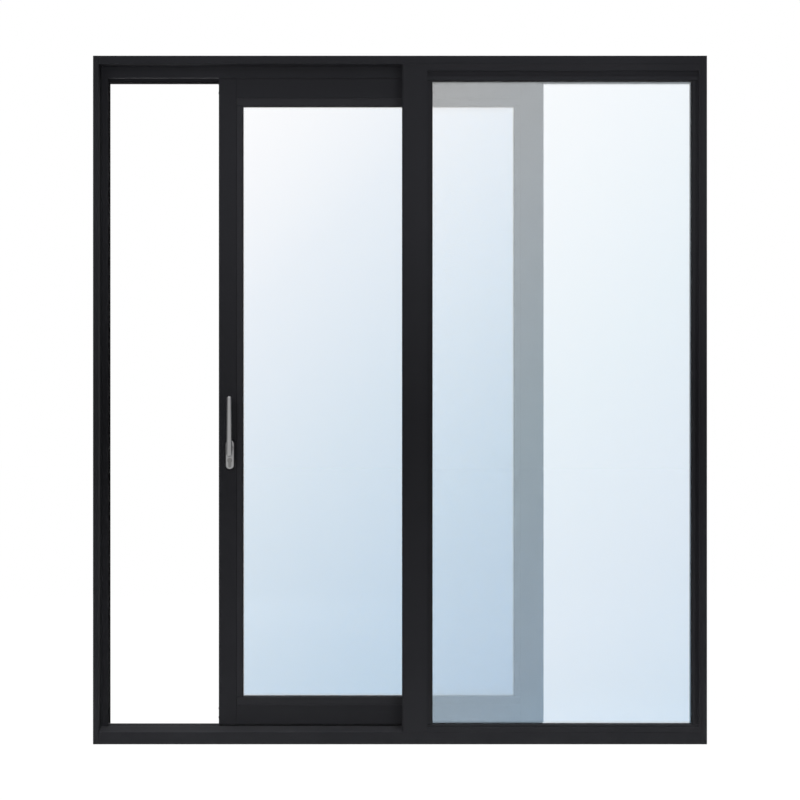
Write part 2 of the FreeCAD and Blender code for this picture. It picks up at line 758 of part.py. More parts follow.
def frame_brush_seals():
    """Brushes on the pocket lips of the head and the left jamb, a hair clear of the sash."""
    front_from, front_to = pocket_front + lip, sash_front - seal_clearance
    back_from, back_to = sash_back + seal_clearance, back - lip
    head_front = soffit - head_front_lip_drop
    head_back = soffit - head_rear_lip_drop
    top = min(head_front, head_back)
    return [box(left_lip_edge, right_lip_edge, front_from, front_to, head_front, head_front + brush_width),
            box(left_lip_edge, right_lip_edge, back_from, back_to, head_back, head_back + brush_width),
            box(left_lip_edge - brush_width, left_lip_edge, front_from, front_to, sill_height, top - 1),
            box(left_lip_edge - brush_width, left_lip_edge, back_from, back_to, sill_height, top - 1)]


def sash_bottom_seals():
    strip = sill_gap - seal_clearance
    wide = brush_width - 1
    places = (sash_front + wall * 2, sash_back - wall * 2 - wide)
    return [box(sash_left, meeting_face, y, y + wide, sash_bottom - strip, sash_bottom) for y in places]


def lock_faceplate():
    half = faceplate_width / 2
    plate = box(sash_left, sash_left + faceplate_thickness, track - half, track + half,
                faceplate_bottom, faceplate_top)
    slots = [box(sash_left - 1, sash_left + faceplate_thickness + 1,
                 track - lock_slot_width / 2, track + lock_slot_width / 2,
                 z - lock_slot_length / 2, z + lock_slot_length / 2) for z in hook_bolt_heights]
    return cut_all(plate, slots)


def lock_hook_bolts():
    """Hook bolts drawn back into the stile, their backs against the bottom of the gear channel."""
    x0 = sash_left + faceplate_thickness + hook_bolt_recess
    x1 = sash_left + gear_channel_depth
    half = hook_bolt_thickness / 2
    bolts = []
    for z in hook_bolt_heights:
        low, high = z - hook_bolt_length / 2, z + hook_bolt_length / 2
        bite = (x1 - x0) / 2
        points = [(x1, low), (x0, low), (x0, high), (x0 + bite / 2, high), (x0 + bite, high - bite),
                  (x0 + bite, high - 2 * bite), (x1, high - 2 * bite)]
        outline = polygon([Vector(x, track - half, height) for x, height in points])
        bolts.append(extruded(outline, [], Vector(0, hook_bolt_thickness, 0)))
    return bolts


def lock_keepers():
    keepers = []
    half = faceplate_width / 2
    for z in hook_bolt_heights:
        plate = box(left_pocket, left_pocket + keeper_thickness, track - half, track + half,
                    z - keeper_length / 2, z + keeper_length / 2)
        slot = box(left_pocket - 1, left_pocket + keeper_thickness + 1,
                   track - keeper_slot_width / 2, track + keeper_slot_width / 2,
                   z - keeper_slot_length / 2, z + keeper_slot_length / 2)
        keepers.append(cut_all(plate, [slot]))
    return keepers


def stop_buffers():
    """Two rubber blocks high in the head track, which the top of the sash's meeting stile comes up to."""
    face = right_lip_edge - open_stop_gap - hook + seal_clearance
    high = sash_top - buffer_inset
    low = high - buffer_size
    buffers = []
    for y in (sash_front + buffer_inset, sash_back - buffer_inset - buffer_size):
        outline = bevelled_corners(rectangle(y, y + buffer_size, low, high), buffer_bevel, range(4))
        wire = polygon([Vector(face, across, height) for across, height in outline])
        buffers.append(extruded(wire, [], Vector(right_pocket - face, 0, 0)))
    return buffers


# Handle: a plate and a lever on each side of the lock stile, on one spindle

def capsule(x, low, low_radius, high, high_radius, y0, depth):
    """A tapered bar with round ends, standing in the plane of the door, from the centre of its low end
    to the centre of its high end."""
    slope = math.asin((low_radius - high_radius) / (high - low))
    c, s = math.cos(slope), math.sin(slope)

    def at(side, centre, radius):
        return Vector(x + side * radius * c, y0, centre + radius * s)

    right_low, right_high = at(1, low, low_radius), at(1, high, high_radius)
    left_high, left_low = at(-1, high, high_radius), at(-1, low, low_radius)
    edges = [Part.LineSegment(right_low, right_high).toShape(),
             Part.Arc(right_high, Vector(x, y0, high + high_radius), left_high).toShape(),
             Part.LineSegment(left_high, left_low).toShape(),
             Part.Arc(left_low, Vector(x, y0, low - low_radius), right_low).toShape()]
    return extruded(Part.Wire(edges), [], Vector(0, depth, 0))


def bevelled(solid, y, size):
    """Bevels the edges of the solid that lie in the plane at depth y."""
    edges = [e for e in solid.Edges if abs(e.BoundBox.YMin - y) < 0.01 and abs(e.BoundBox.YMax - y) < 0.01]
    return solid.makeChamfer(size, edges)


def other_side(solid):
    return solid.mirror(Vector(0, track, 0), Vector(0, 1, 0))


def handle_plate():
    radius = plate_width / 2
    face = sash_front - plate_thickness
    plate = capsule(handle_x, handle_height - plate_below + radius, radius,
                    handle_height + plate_above - radius, radius, face, plate_thickness)
    plate = bevelled(plate, face, plate_edge)
    bore = rod(neck_radius + neck_clearance, Vector(handle_x, face - 1, handle_height),
               Vector(0, 1, 0), plate_thickness + 2)
    keyhole = euro_profile(cylinder_clearance, face - 1, sash_front + 1)
    return cut_all(plate, [bore, keyhole])


def lever():
    back_face = sash_front - plate_thickness - lever_stand_off
    face = back_face - lever_thickness
    bar = capsule(handle_x, handle_height - lever_foot_below, lever_foot_radius,
                  handle_height + lever_tip_above, lever_tip_radius, face, lever_thickness)
    bar = bevelled(bar, face, lever_edge)
    bar = bevelled(bar, back_face, lever_edge)
    neck = rod(neck_radius, Vector(handle_x, back_face - lever_thickness / 2, handle_height),
               Vector(0, 1, 0), sash_front - neck_clearance - back_face + lever_thickness / 2)
    return bar.fuse(neck).removeSplitter().Solids[0]


def lever_with_spindle():
    half = spindle_side / 2
    start, end = sash_front - neck_clearance, sash_back + neck_clearance
    spindle = box(handle_x - half, handle_x + half, start, end, handle_height - half, handle_height + half)
    return lever().fuse(spindle).removeSplitter().Solids[0]


def lock_cylinder():
    y0 = sash_front - plate_thickness - cylinder_stand_out
    y1 = sash_back + plate_thickness + cylinder_stand_out
    barrel = euro_profile(0, y0, y1)
    half = keyway_width / 2
    low, high = cylinder_z - keyway_height / 2, cylinder_z + keyway_height / 2
    slots = [box(handle_x - half, handle_x + half, y, y + keyway_depth, low, high)
             for y in (y0, y1 - keyway_depth)]
    return cut_all(barrel, slots)


os.makedirs("parts", exist_ok=True)

save("frame_jamb_left", jamb("left"))
save("frame_jamb_right", jamb("right"))
save("frame_head", head())
save("frame_sill", sill())
save("running_rail", running_rail())
save("head_guide_rail", head_guide_rail())
save("frame_brush_seals", *frame_brush_seals())
save("lock_keepers", *lock_keepers())
save("stop_buffers", *stop_buffers())

head_adapter, sill_adapter, jamb_adapter = adapters()
save("fixed_meeting_stile", fixed_meeting_stile())
save("fixed_adapter_head", head_adapter)
save("fixed_adapter_sill", sill_adapter)
save("fixed_adapter_jamb", jamb_adapter)
for name, bead in zip(("head", "sill", "jamb", "stile"), fixed_beads()):
    save("fixed_bead_" + name, bead)
outer_pane, inner_pane = glass_panes(fixed_glass, fixed_glass_front)
save("fixed_glass_outer", outer_pane)
save("fixed_glass_inner", inner_pane)
save("fixed_glass_spacer", *spacer_bars(fixed_glass, fixed_glass_front))
save("fixed_gaskets", *gaskets(fixed_daylight, fixed_glass_front, fixed_bead_back, inner_flange_front))
save("fixed_interlock", fixed_interlock())
save("meeting_seal", meeting_seal())

save("sash_lock_stile", sash_lock_stile())
save("sash_meeting_stile", sash_meeting_stile())
save("sash_top_rail", rail_profile("top", sash_top, top_rail_body, top_bead,
                                   guide_channel_width, guide_channel_depth))
save("sash_bottom_rail", rail_profile("bottom", sash_bottom, bottom_rail_body, bottom_bead,
                                      roller_channel_width, roller_channel_depth))
level_beads, standing_beads = sash_beads()
save("sash_beads_level", *level_beads)
save("sash_beads_upright", *standing_beads)
outer_pane, inner_pane = glass_panes(sash_glass, sash_glass_front)
save("sash_glass_outer", outer_pane)
save("sash_glass_inner", inner_pane)
save("sash_glass_spacer", *spacer_bars(sash_glass, sash_glass_front))
save("sash_gaskets", *gaskets(sash_daylight, sash_glass_front, sash_bead_back, sash_flange_front))
save("sash_interlock", sash_interlock())
save("sash_bottom_seals", *sash_bottom_seals())
save("roller_carriages", *[roller_carriage(x) for x in carriage_centres()])
axle_height, axle_places = roller_axles()
save("rollers", *[roller(x, axle_height) for x in axle_places])
save("top_guide_shoes", *guide_shoes())
save("lock_faceplate", lock_faceplate())
save("lock_hook_bolts", *lock_hook_bolts())
save("lock_cylinder", lock_cylinder())
plate = handle_plate()
save("handle_plate_front", plate)
save("handle_plate_back", other_side(plate))

save("handle_lever_front", lever_with_spindle())
save("handle_lever_back", other_side(lever()))
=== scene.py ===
import math

import bmesh
import bpy
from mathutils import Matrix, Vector


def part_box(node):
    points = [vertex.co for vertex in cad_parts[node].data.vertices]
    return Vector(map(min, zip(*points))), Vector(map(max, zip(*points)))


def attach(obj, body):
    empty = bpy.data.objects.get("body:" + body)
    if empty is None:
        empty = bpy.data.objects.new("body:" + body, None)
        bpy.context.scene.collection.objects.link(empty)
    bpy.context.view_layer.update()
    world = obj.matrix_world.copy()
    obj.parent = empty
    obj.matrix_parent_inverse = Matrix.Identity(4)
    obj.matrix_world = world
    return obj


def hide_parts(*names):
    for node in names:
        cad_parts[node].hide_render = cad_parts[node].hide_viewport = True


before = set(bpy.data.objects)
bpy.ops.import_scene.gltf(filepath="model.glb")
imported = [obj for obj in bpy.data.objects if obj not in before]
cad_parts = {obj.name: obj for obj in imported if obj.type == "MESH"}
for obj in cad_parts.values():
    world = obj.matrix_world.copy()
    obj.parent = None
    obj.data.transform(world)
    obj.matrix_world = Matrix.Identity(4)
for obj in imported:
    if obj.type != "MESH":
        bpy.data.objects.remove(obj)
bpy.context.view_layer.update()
scene = bpy.context.scene
scene.view_settings.view_transform = "Standard"
scene.cycles.transparent_max_bounces = 24

# Studio: the door stands free on a pale floor in front of a white backdrop, under an even sky. A soft lamp
# lights it from the upper left and one lights its back. Of four with grids, two below the middle light
# its top and two above it light its foot. The camera looks at its middle from ten metres.
camera_distance = 10.0
view_width = 2.7880             # metres across the picture at the frame's front face
sensor_width = 36.0
eye_height = 1.2
door_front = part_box("frame_sill")[0].y

camera_data = bpy.data.cameras.new("camera")
camera_data.sensor_width = sensor_width
camera_data.lens = sensor_width * camera_distance / view_width
camera_data.clip_end = 200
camera = bpy.data.objects.new("camera", camera_data)
camera.location = (0, door_front - camera_distance, eye_height)
camera.rotation_euler = (math.radians(90), 0, 0)
scene.collection.objects.link(camera)
scene.camera = camera


def soft_lamp(name, place, target, size, power, spread=180):
    """A square soft lamp. A spread under 180 degrees stands for a grid in front of it."""
    data = bpy.data.lights.new(name, "AREA")
    data.shape = "SQUARE"
    data.size = size
    data.energy = power
    data.spread = math.radians(spread)
    lamp = bpy.data.objects.new(name, data)
    lamp.location = place
    lamp.rotation_euler = (Vector(target) - Vector(place)).to_track_quat("-Z", "Y").to_euler()
    lamp.visible_glossy = False
    scene.collection.objects.link(lamp)


door_middle = (0, 0, eye_height)
grid_lamp_size = 0.6
top_lamp_spread = 44
foot_lamp_power = 8
foot_lamp_spread = 45
soft_lamp("key_lamp", (-3.4, -6.5, 3.7), door_middle, size=1.0, power=102)
soft_lamp("back_lamp", (-2.4, 7.0, 1.9), door_middle, size=2.4, power=120)
for side, name, top_lamp_power in ((-1, "left", 2.8), (1, "right", 3.6)):
    soft_lamp("high_lamp_" + name, (side * 0.85, -2.8, 1.5), (side * 0.7, 0, 2.1), grid_lamp_size,
              top_lamp_power, top_lamp_spread)
    soft_lamp("floor_lamp_" + name, (side * 0.8, -1.9, 2.9), (side * 0.8, -0.7, 0), grid_lamp_size,
              foot_lamp_power, foot_lamp_spread)


def new_finish(name):
    material = bpy.data.materials.new(name)
    material.use_nodes = True
    tree = material.node_tree
    return material, tree, tree.nodes["Principled BSDF"]


def fill(tree, socket, value):
    """Links a socket's value to another socket, or sets it as it is."""
    if isinstance(value, bpy.types.NodeSocket):
        tree.links.new(value, socket)
    elif value is not None:
        socket.default_value = value


def maths(tree, operation, first, second=None):
    """A maths node on a socket and a second socket or number."""
    step = tree.nodes.new("ShaderNodeMath")
    step.operation = operation
    tree.links.new(first, step.inputs[0])
    fill(tree, step.inputs[1], second)
    return step.outputs[0]


def ranged(tree, source, low, high, start=0.0, end=1.0):
    """Maps the range from start to end onto low to high."""
    span = tree.nodes.new("ShaderNodeMapRange")
    span.inputs["From Min"].default_value = start
    span.inputs["From Max"].default_value = end
    span.inputs["To Min"].default_value = low
    span.inputs["To Max"].default_value = high
    tree.links.new(source, span.inputs["Value"])
    return span.outputs["Result"]


def chosen(tree, by, first, second, kind="FLOAT"):
    """The first value or colour where by is 0, the second where it is 1, and a mix in between."""
    pick = tree.nodes.new("ShaderNodeMix")
    pick.data_type = kind
    tree.links.new(by, pick.inputs["Factor"])
    fill(tree, pick.inputs["A"], first)
    fill(tree, pick.inputs["B"], second)
    return pick.outputs["Result"]


# The backdrop is white to the camera, and wherever glass shows it. Polished metal also mirrors the darker
# sides of the studio and a bright panel overhead, which give its curves their shape.
sky_light = 0.21
dark_side = 0.16
overhead_panel = 1.9
side_edge = (0.5, 0.85)         # share of a mirrored way along Y: from the dark sides to the backdrop
panel_edge = (0.45, 0.75)       # share of it upwards: from the wall to the panel's full light
world = bpy.data.worlds.new("studio_sky")
scene.world = world
world.use_nodes = True
sky = world.node_tree
background = sky.nodes["Background"]
background.inputs["Color"].default_value = (1, 1, 1, 1)
sky_way = sky.nodes.new("ShaderNodeTexCoord")
sky_axes = sky.nodes.new("ShaderNodeSeparateXYZ")
sky.links.new(sky_way.outputs["Generated"], sky_axes.inputs["Vector"])
sky_rays = sky.nodes.new("ShaderNodeLightPath")
ahead = maths(sky, "ABSOLUTE", sky_axes.outputs["Y"])
mirrored = ranged(sky, ahead, dark_side, 1.0, *side_edge)
panel = ranged(sky, sky_axes.outputs["Z"], 0.0, overhead_panel, *panel_edge)
mirrored = maths(sky, "MAXIMUM", mirrored, panel)
unseen_or_mirrored = chosen(sky, sky_rays.outputs["Is Glossy Ray"], sky_light, mirrored)
straight = maths(sky, "MAXIMUM", sky_rays.outputs["Is Camera Ray"], sky_rays.outputs["Is Transmission Ray"])
sky.links.new(chosen(sky, straight, unseen_or_mirrored, 1.0), background.inputs["Strength"])

floor_half = 40.0
floor_roughness = 0.9
floor_tone_seen = 0.05
floor_tone_unseen = 0.88
floor_glow = 1.0 - floor_tone_seen * sky_light      # so that the far floor fades into the white backdrop
slant_edge = (0.4, 0.9)         # how far aslant a mirrored place lies: from pale middle to dark sides
slant_reach = 4.0               # metres beyond the door from which that slant is taken
painted_shadow_edge = (0.3, 0.6)    # metres from the door: from the painted shadow under it, seen in reflections, to the open floor
floor_mesh = bpy.data.meshes.new("studio_floor")
floor_mesh.from_pydata([(-floor_half, -floor_half, 0), (floor_half, -floor_half, 0),
                        (floor_half, floor_half, 0), (-floor_half, floor_half, 0)], [], [(0, 1, 2, 3)])
floor = bpy.data.objects.new("studio_floor", floor_mesh)
scene.collection.objects.link(floor)
floor_paint, floor_tree, floor_shader = new_finish("floor_paint")
floor_shader.inputs["Roughness"].default_value = floor_roughness
floor_shader.inputs["Specular IOR Level"].default_value = 0.0
floor_shader.inputs["Emission Color"].default_value = (1, 1, 1, 1)
floor_rays = floor_tree.nodes.new("ShaderNodeLightPath")
floor_straight = maths(floor_tree, "MAXIMUM", floor_rays.outputs["Is Camera Ray"],
                       floor_rays.outputs["Is Transmission Ray"])
floor_seen = maths(floor_tree, "MAXIMUM", floor_straight, floor_rays.outputs["Is Glossy Ray"])
floor_tone = chosen(floor_tree, floor_seen, (*[floor_tone_unseen] * 3, 1),
                    (*[floor_tone_seen] * 3, 1), "RGBA")
floor_tree.links.new(floor_tone, floor_shader.inputs["Base Color"])
floor_place = floor_tree.nodes.new("ShaderNodeTexCoord")
floor_axes = floor_tree.nodes.new("ShaderNodeSeparateXYZ")
floor_tree.links.new(floor_place.outputs["Object"], floor_axes.inputs["Vector"])
sideways = maths(floor_tree, "ABSOLUTE", floor_axes.outputs["X"])
floor_near = maths(floor_tree, "ABSOLUTE", floor_axes.outputs["Y"])
onwards = maths(floor_tree, "ADD", floor_near, slant_reach)
slant = maths(floor_tree, "DIVIDE", sideways, onwards)
# In reflections the floor glows, darker aslant to match the studio's dark sides, and with a painted shadow
# in a strip under the door.
floor_mirrored = ranged(floor_tree, slant, floor_glow, floor_glow * dark_side, *slant_edge)
painted_door_shadow = ranged(floor_tree, floor_near, dark_side, 1.0, *painted_shadow_edge)
floor_mirrored = maths(floor_tree, "MULTIPLY", floor_mirrored, painted_door_shadow)
floor_mirrored = maths(floor_tree, "MULTIPLY", floor_mirrored, floor_rays.outputs["Is Glossy Ray"])
floor_tree.links.new(chosen(floor_tree, floor_straight, floor_mirrored, floor_glow),
                     floor_shader.inputs["Emission Strength"])
floor_mesh.materials.append(floor_paint)


# Outer frame: graphite powder-coated aluminium extrusions. The head and sill are cut square and fitted
# between the two full-height jambs. A thin dusty film lies on the faces that look up and on the foot near
# the ground. It is partly real and partly painted light, lightening them as the light falling there would.
# Feet have dulled the sill.
coat_colour = (0.0166, 0.0168, 0.0196, 1)
coat_shade = (0.0138, 0.0140, 0.0163, 1)
# The dusty film is partly painted light: it lightens the faces that look up, and the foot near the ground,
# as the light falling there would.
dust_and_light_colour = (0.052, 0.053, 0.057, 1)
covered_slope = (0.3, 0.95)       # upward share of a face's normal: from bare to the full dusty film and painted light
near_ground_amount = 0.6             # at ground level, against 1 on a level face
patchiness = 0.65               # what the thinnest patches keep


def new_group(name, inputs, outputs):
    """A shader node group, and the sockets that it takes in and gives out."""
    tree = bpy.data.node_groups.new(name, "ShaderNodeTree")
    for socket, kind, value in inputs:
        made = tree.interface.new_socket(socket, in_out="INPUT", socket_type=kind)
        made.default_value = value
    for socket, kind in outputs:
        tree.interface.new_socket(socket, in_out="OUTPUT", socket_type=kind)
    return tree, tree.nodes.new("NodeGroupInput").outputs, tree.nodes.new("NodeGroupOutput").inputs


def noise_at(tree, place, scale, detail):
    """Noise over a place socket, at the scale that another socket gives."""
    noise = tree.nodes.new("ShaderNodeTexNoise")
    noise.inputs["Detail"].default_value = detail
    tree.links.new(place, noise.inputs["Vector"])
    tree.links.new(scale, noise.inputs["Scale"])
    return noise.outputs["Fac"]


def mottle_group():
    """Cloudy variation between two tones, with a fine grain laid over it."""
    tree, given, out = new_group("mottle", [
        ("Tone A", "NodeSocketColor", (0.5, 0.5, 0.5, 1)),
        ("Tone B", "NodeSocketColor", (0.4, 0.4, 0.4, 1)),
        ("Cloud Scale", "NodeSocketFloat", 3.0),
        ("Grain Scale", "NodeSocketFloat", 900.0),
        ("Grain Share", "NodeSocketFloat", 0.4),
    ], [("Color", "NodeSocketColor"), ("Mask", "NodeSocketFloat")])
    place = tree.nodes.new("ShaderNodeTexCoord").outputs["Object"]
    clouds = noise_at(tree, place, given["Cloud Scale"], 3.0)
    grain = noise_at(tree, place, given["Grain Scale"], 1.0)
    blend = chosen(tree, given["Grain Share"], clouds, grain)
    tone = chosen(tree, blend, given["Tone A"], given["Tone B"], "RGBA")
    tree.links.new(tone, out["Color"])
    tree.links.new(blend, out["Mask"])
    return tree


def vector_step(tree, operation, first, second=None):
    """A vector maths node on a socket, with a second socket, vector or number where it takes one."""
    step = tree.nodes.new("ShaderNodeVectorMath")
    step.operation = operation
    tree.links.new(first, step.inputs[0])
    fill(tree, step.inputs["Scale"] if operation == "SCALE" else step.inputs[1], second)
    return step.outputs["Value"] if operation in ("LENGTH", "DOT_PRODUCT") else step.outputs["Vector"]


def texture_bump_group():
    """Fine raised texture, such as the orange peel of a powder coat. Stretch draws it out into lines."""
    tree, given, out = new_group("texture_bump", [
        ("Scale", "NodeSocketFloat", 1200.0),
        ("Depth", "NodeSocketFloat", 0.00003),
        ("Stretch", "NodeSocketVector", (1.0, 1.0, 1.0)),
    ], [("Normal", "NodeSocketVector"), ("Height", "NodeSocketFloat")])
    nodes, links = tree.nodes, tree.links
    place = nodes.new("ShaderNodeTexCoord")
    stretched = vector_step(tree, "MULTIPLY", place.outputs["Object"], given["Stretch"])
    height = noise_at(tree, stretched, given["Scale"], 2.0)
    bump = nodes.new("ShaderNodeBump")
    links.new(height, bump.inputs["Height"])
    links.new(given["Depth"], bump.inputs["Distance"])
    links.new(bump.outputs["Normal"], out["Normal"])
    links.new(height, out["Height"])
    return tree


def dust_and_light_group():
    """A dusty film on the faces that look up and on what stands near the ground, broken up into soft
    patches. It is partly painted light, lightening those faces as the light falling on them would."""
    tree, given, out = new_group("dust_and_light_film", [
        ("Color", "NodeSocketColor", (0.02, 0.02, 0.02, 1)),
        ("Dust Color", "NodeSocketColor", (0.2, 0.2, 0.2, 1)),
        ("Amount", "NodeSocketFloat", 0.3),
        ("Ground Band Height", "NodeSocketFloat", 0.3),
        ("Patch Scale", "NodeSocketFloat", 6.0),
    ], [("Color", "NodeSocketColor"), ("Mask", "NodeSocketFloat")])
    nodes, links = tree.nodes, tree.links
    place = nodes.new("ShaderNodeTexCoord")
    facing = nodes.new("ShaderNodeSeparateXYZ")
    links.new(place.outputs["Normal"], facing.inputs["Vector"])
    upward = ranged(tree, facing.outputs["Z"], 0.0, 1.0, *covered_slope)
    level = nodes.new("ShaderNodeSeparateXYZ")
    links.new(place.outputs["Object"], level.inputs["Vector"])
    near_ground = ranged(tree, level.outputs["Z"], near_ground_amount, 0.0)
    links.new(given["Ground Band Height"], near_ground.node.inputs["From Max"])
    patches = noise_at(tree, place.outputs["Object"], given["Patch Scale"], 4.0)
    spread = ranged(tree, patches, patchiness, 1.0, 0.3, 0.7)
    cover = maths(tree, "MULTIPLY", maths(tree, "MAXIMUM", upward, near_ground), spread)
    film = maths(tree, "MULTIPLY", cover, given["Amount"])
    tone = chosen(tree, film, given["Color"], given["Dust Color"], "RGBA")
    links.new(tone, out["Color"])
    links.new(film, out["Mask"])
    return tree


mottle = mottle_group()
texture_bump = texture_bump_group()
dust_and_light_film = dust_and_light_group()


def use_group(tree, group, **values):
    """Places a node group. An underscore in a value's name stands for the space in its socket's name."""
    placed = tree.nodes.new("ShaderNodeGroup")
    placed.node_tree = group
    for socket, value in values.items():
        fill(tree, placed.inputs[socket.replace("_", " ")], value)
    return placed


def mottled_finish(name, tones, rough, clouds, grain, grain_share, peel, peel_depth,
                   specular=0.5, metallic=0.0, stretch=(1.0, 1.0, 1.0), dust_and_light=None, dust_and_light_amount=0.3):
    """A finish with mottled colour, roughness that follows the mottle, and a fine raised texture."""
    material, tree, shader = new_finish(name)
    tone = use_group(tree, mottle, Tone_A=tones[0], Tone_B=tones[1], Cloud_Scale=clouds,
                     Grain_Scale=grain, Grain_Share=grain_share)
    bump = use_group(tree, texture_bump, Scale=peel, Depth=peel_depth, Stretch=stretch)
    colour = tone.outputs["Color"]
    if dust_and_light:
        film = use_group(tree, dust_and_light_film, Color=colour, Dust_Color=dust_and_light, Amount=dust_and_light_amount)
        colour = film.outputs["Color"]
    tree.links.new(colour, shader.inputs["Base Color"])
    tree.links.new(ranged(tree, tone.outputs["Mask"], *rough), shader.inputs["Roughness"])
    tree.links.new(bump.outputs["Normal"], shader.inputs["Normal"])
    shader.inputs["Specular IOR Level"].default_value = specular
    shader.inputs["Metallic"].default_value = metallic
    return material


def finish_nodes(material, *names):
    for name in names:
        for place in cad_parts[name].material_slots:
            place.material = material


def powder_coat(name, tones, rough, specular, dust_and_light_amount=0.3):
    """Baked-on powder: faint clouds of tone, the orange peel of the melted grains, and a dusty film that is
    partly painted light.
    """
    return mottled_finish(name, tones, rough, clouds=2.2, grain=700.0, grain_share=0.35, peel=1500.0,
                          peel_depth=0.00002, specular=specular, dust_and_light=dust_and_light_colour, dust_and_light_amount=dust_and_light_amount)


graphite_coat = powder_coat("graphite_coat", (coat_colour, coat_shade), (0.62, 0.78), 0.12)
sill_coat = powder_coat("sill_coat", (coat_colour, coat_shade), (0.8, 0.95), 0.04, 0.45)
finish_nodes(graphite_coat, "frame_jamb_left", "frame_jamb_right", "frame_head")
finish_nodes(sill_coat, "frame_sill")


# Track: an anodised running rail clipped along the sill, whose rounded top the rollers polish, and a plain
# aluminium guide rail screwed under the head.
rail_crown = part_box("running_rail")[1].z
polished_depth = 0.0007
rail_colour = (0.028, 0.028, 0.031, 1)
polished_colour = (0.32, 0.32, 0.33, 1)


def running_rail_finish():
    material, tree, shader = new_finish("anodised_rail")
    nodes, links = tree.nodes, tree.links
    place = nodes.new("ShaderNodeTexCoord")
    height = nodes.new("ShaderNodeSeparateXYZ")
    links.new(place.outputs["Object"], height.inputs["Vector"])
    drawn = use_group(tree, texture_bump, Scale=300.0, Depth=0.00001, Stretch=(0.02, 1.0, 1.0))
    worn = ranged(tree, height.outputs["Z"], 0.0, 1.0,
                  rail_crown - polished_depth, rail_crown - polished_depth / 3)
    streaks = maths(tree, "MULTIPLY", worn, ranged(tree, drawn.outputs["Height"], 0.6, 1.2))
    links.new(chosen(tree, streaks, rail_colour, polished_colour, "RGBA"), shader.inputs["Base Color"])
    links.new(streaks, shader.inputs["Metallic"])
    links.new(ranged(tree, drawn.outputs["Height"], 0.35, 0.55), shader.inputs["Roughness"])
    links.new(drawn.outputs["Normal"], shader.inputs["Normal"])
    shader.inputs["Specular IOR Level"].default_value = 0.2
    return material


finish_nodes(running_rail_finish(), "running_rail")
mill_aluminium = mottled_finish("mill_aluminium", ((0.50, 0.51, 0.53, 1), (0.42, 0.43, 0.45, 1)),
                                (0.38, 0.52), clouds=6.0, grain=500.0, grain_share=0.5, peel=260.0,
                                peel_depth=0.00001, metallic=1.0, stretch=(0.03, 1.0, 1.0))
finish_nodes(mill_aluminium, "head_guide_rail")


# Brush seals: woven ribbons slid into the pocket lips, with a dense pile of dark grey fibres that brushes
# against the sash. Each ribbon's pile is set in rows of small tufts.
tuft_pitch = 0.0016
tuft_rows = 4
tuft_width = 0.0015
ribbon_share = 0.16             # of the seal's depth that is woven ribbon
end_margin = 0.001              # share of the ribbon's length without tufts
edge_margin = 0.16              # share of its width without tufts
tuft_lean = 0.07
tuft_length = (0.88, 0.99)      # shares of the seal's depth
grey_pile = mottled_finish("grey_pile", ((0.045, 0.045, 0.048, 1), (0.075, 0.075, 0.078, 1)),
                           (0.75, 0.95), clouds=30.0, grain=1400.0, grain_share=0.6, peel=2600.0,
                           peel_depth=0.0001, specular=0.1)


def new_geometry_tree(name, inputs):
    """A geometry node tree, and the sockets that it takes in and gives out."""
    tree = bpy.data.node_groups.new(name, "GeometryNodeTree")
    for socket, kind in inputs:
        tree.interface.new_socket(socket, in_out="INPUT", socket_type=kind)
    tree.interface.new_socket("Geometry", in_out="OUTPUT", socket_type="NodeSocketGeometry")
    return tree, tree.nodes.new("NodeGroupInput").outputs, tree.nodes.new("NodeGroupOutput").inputs


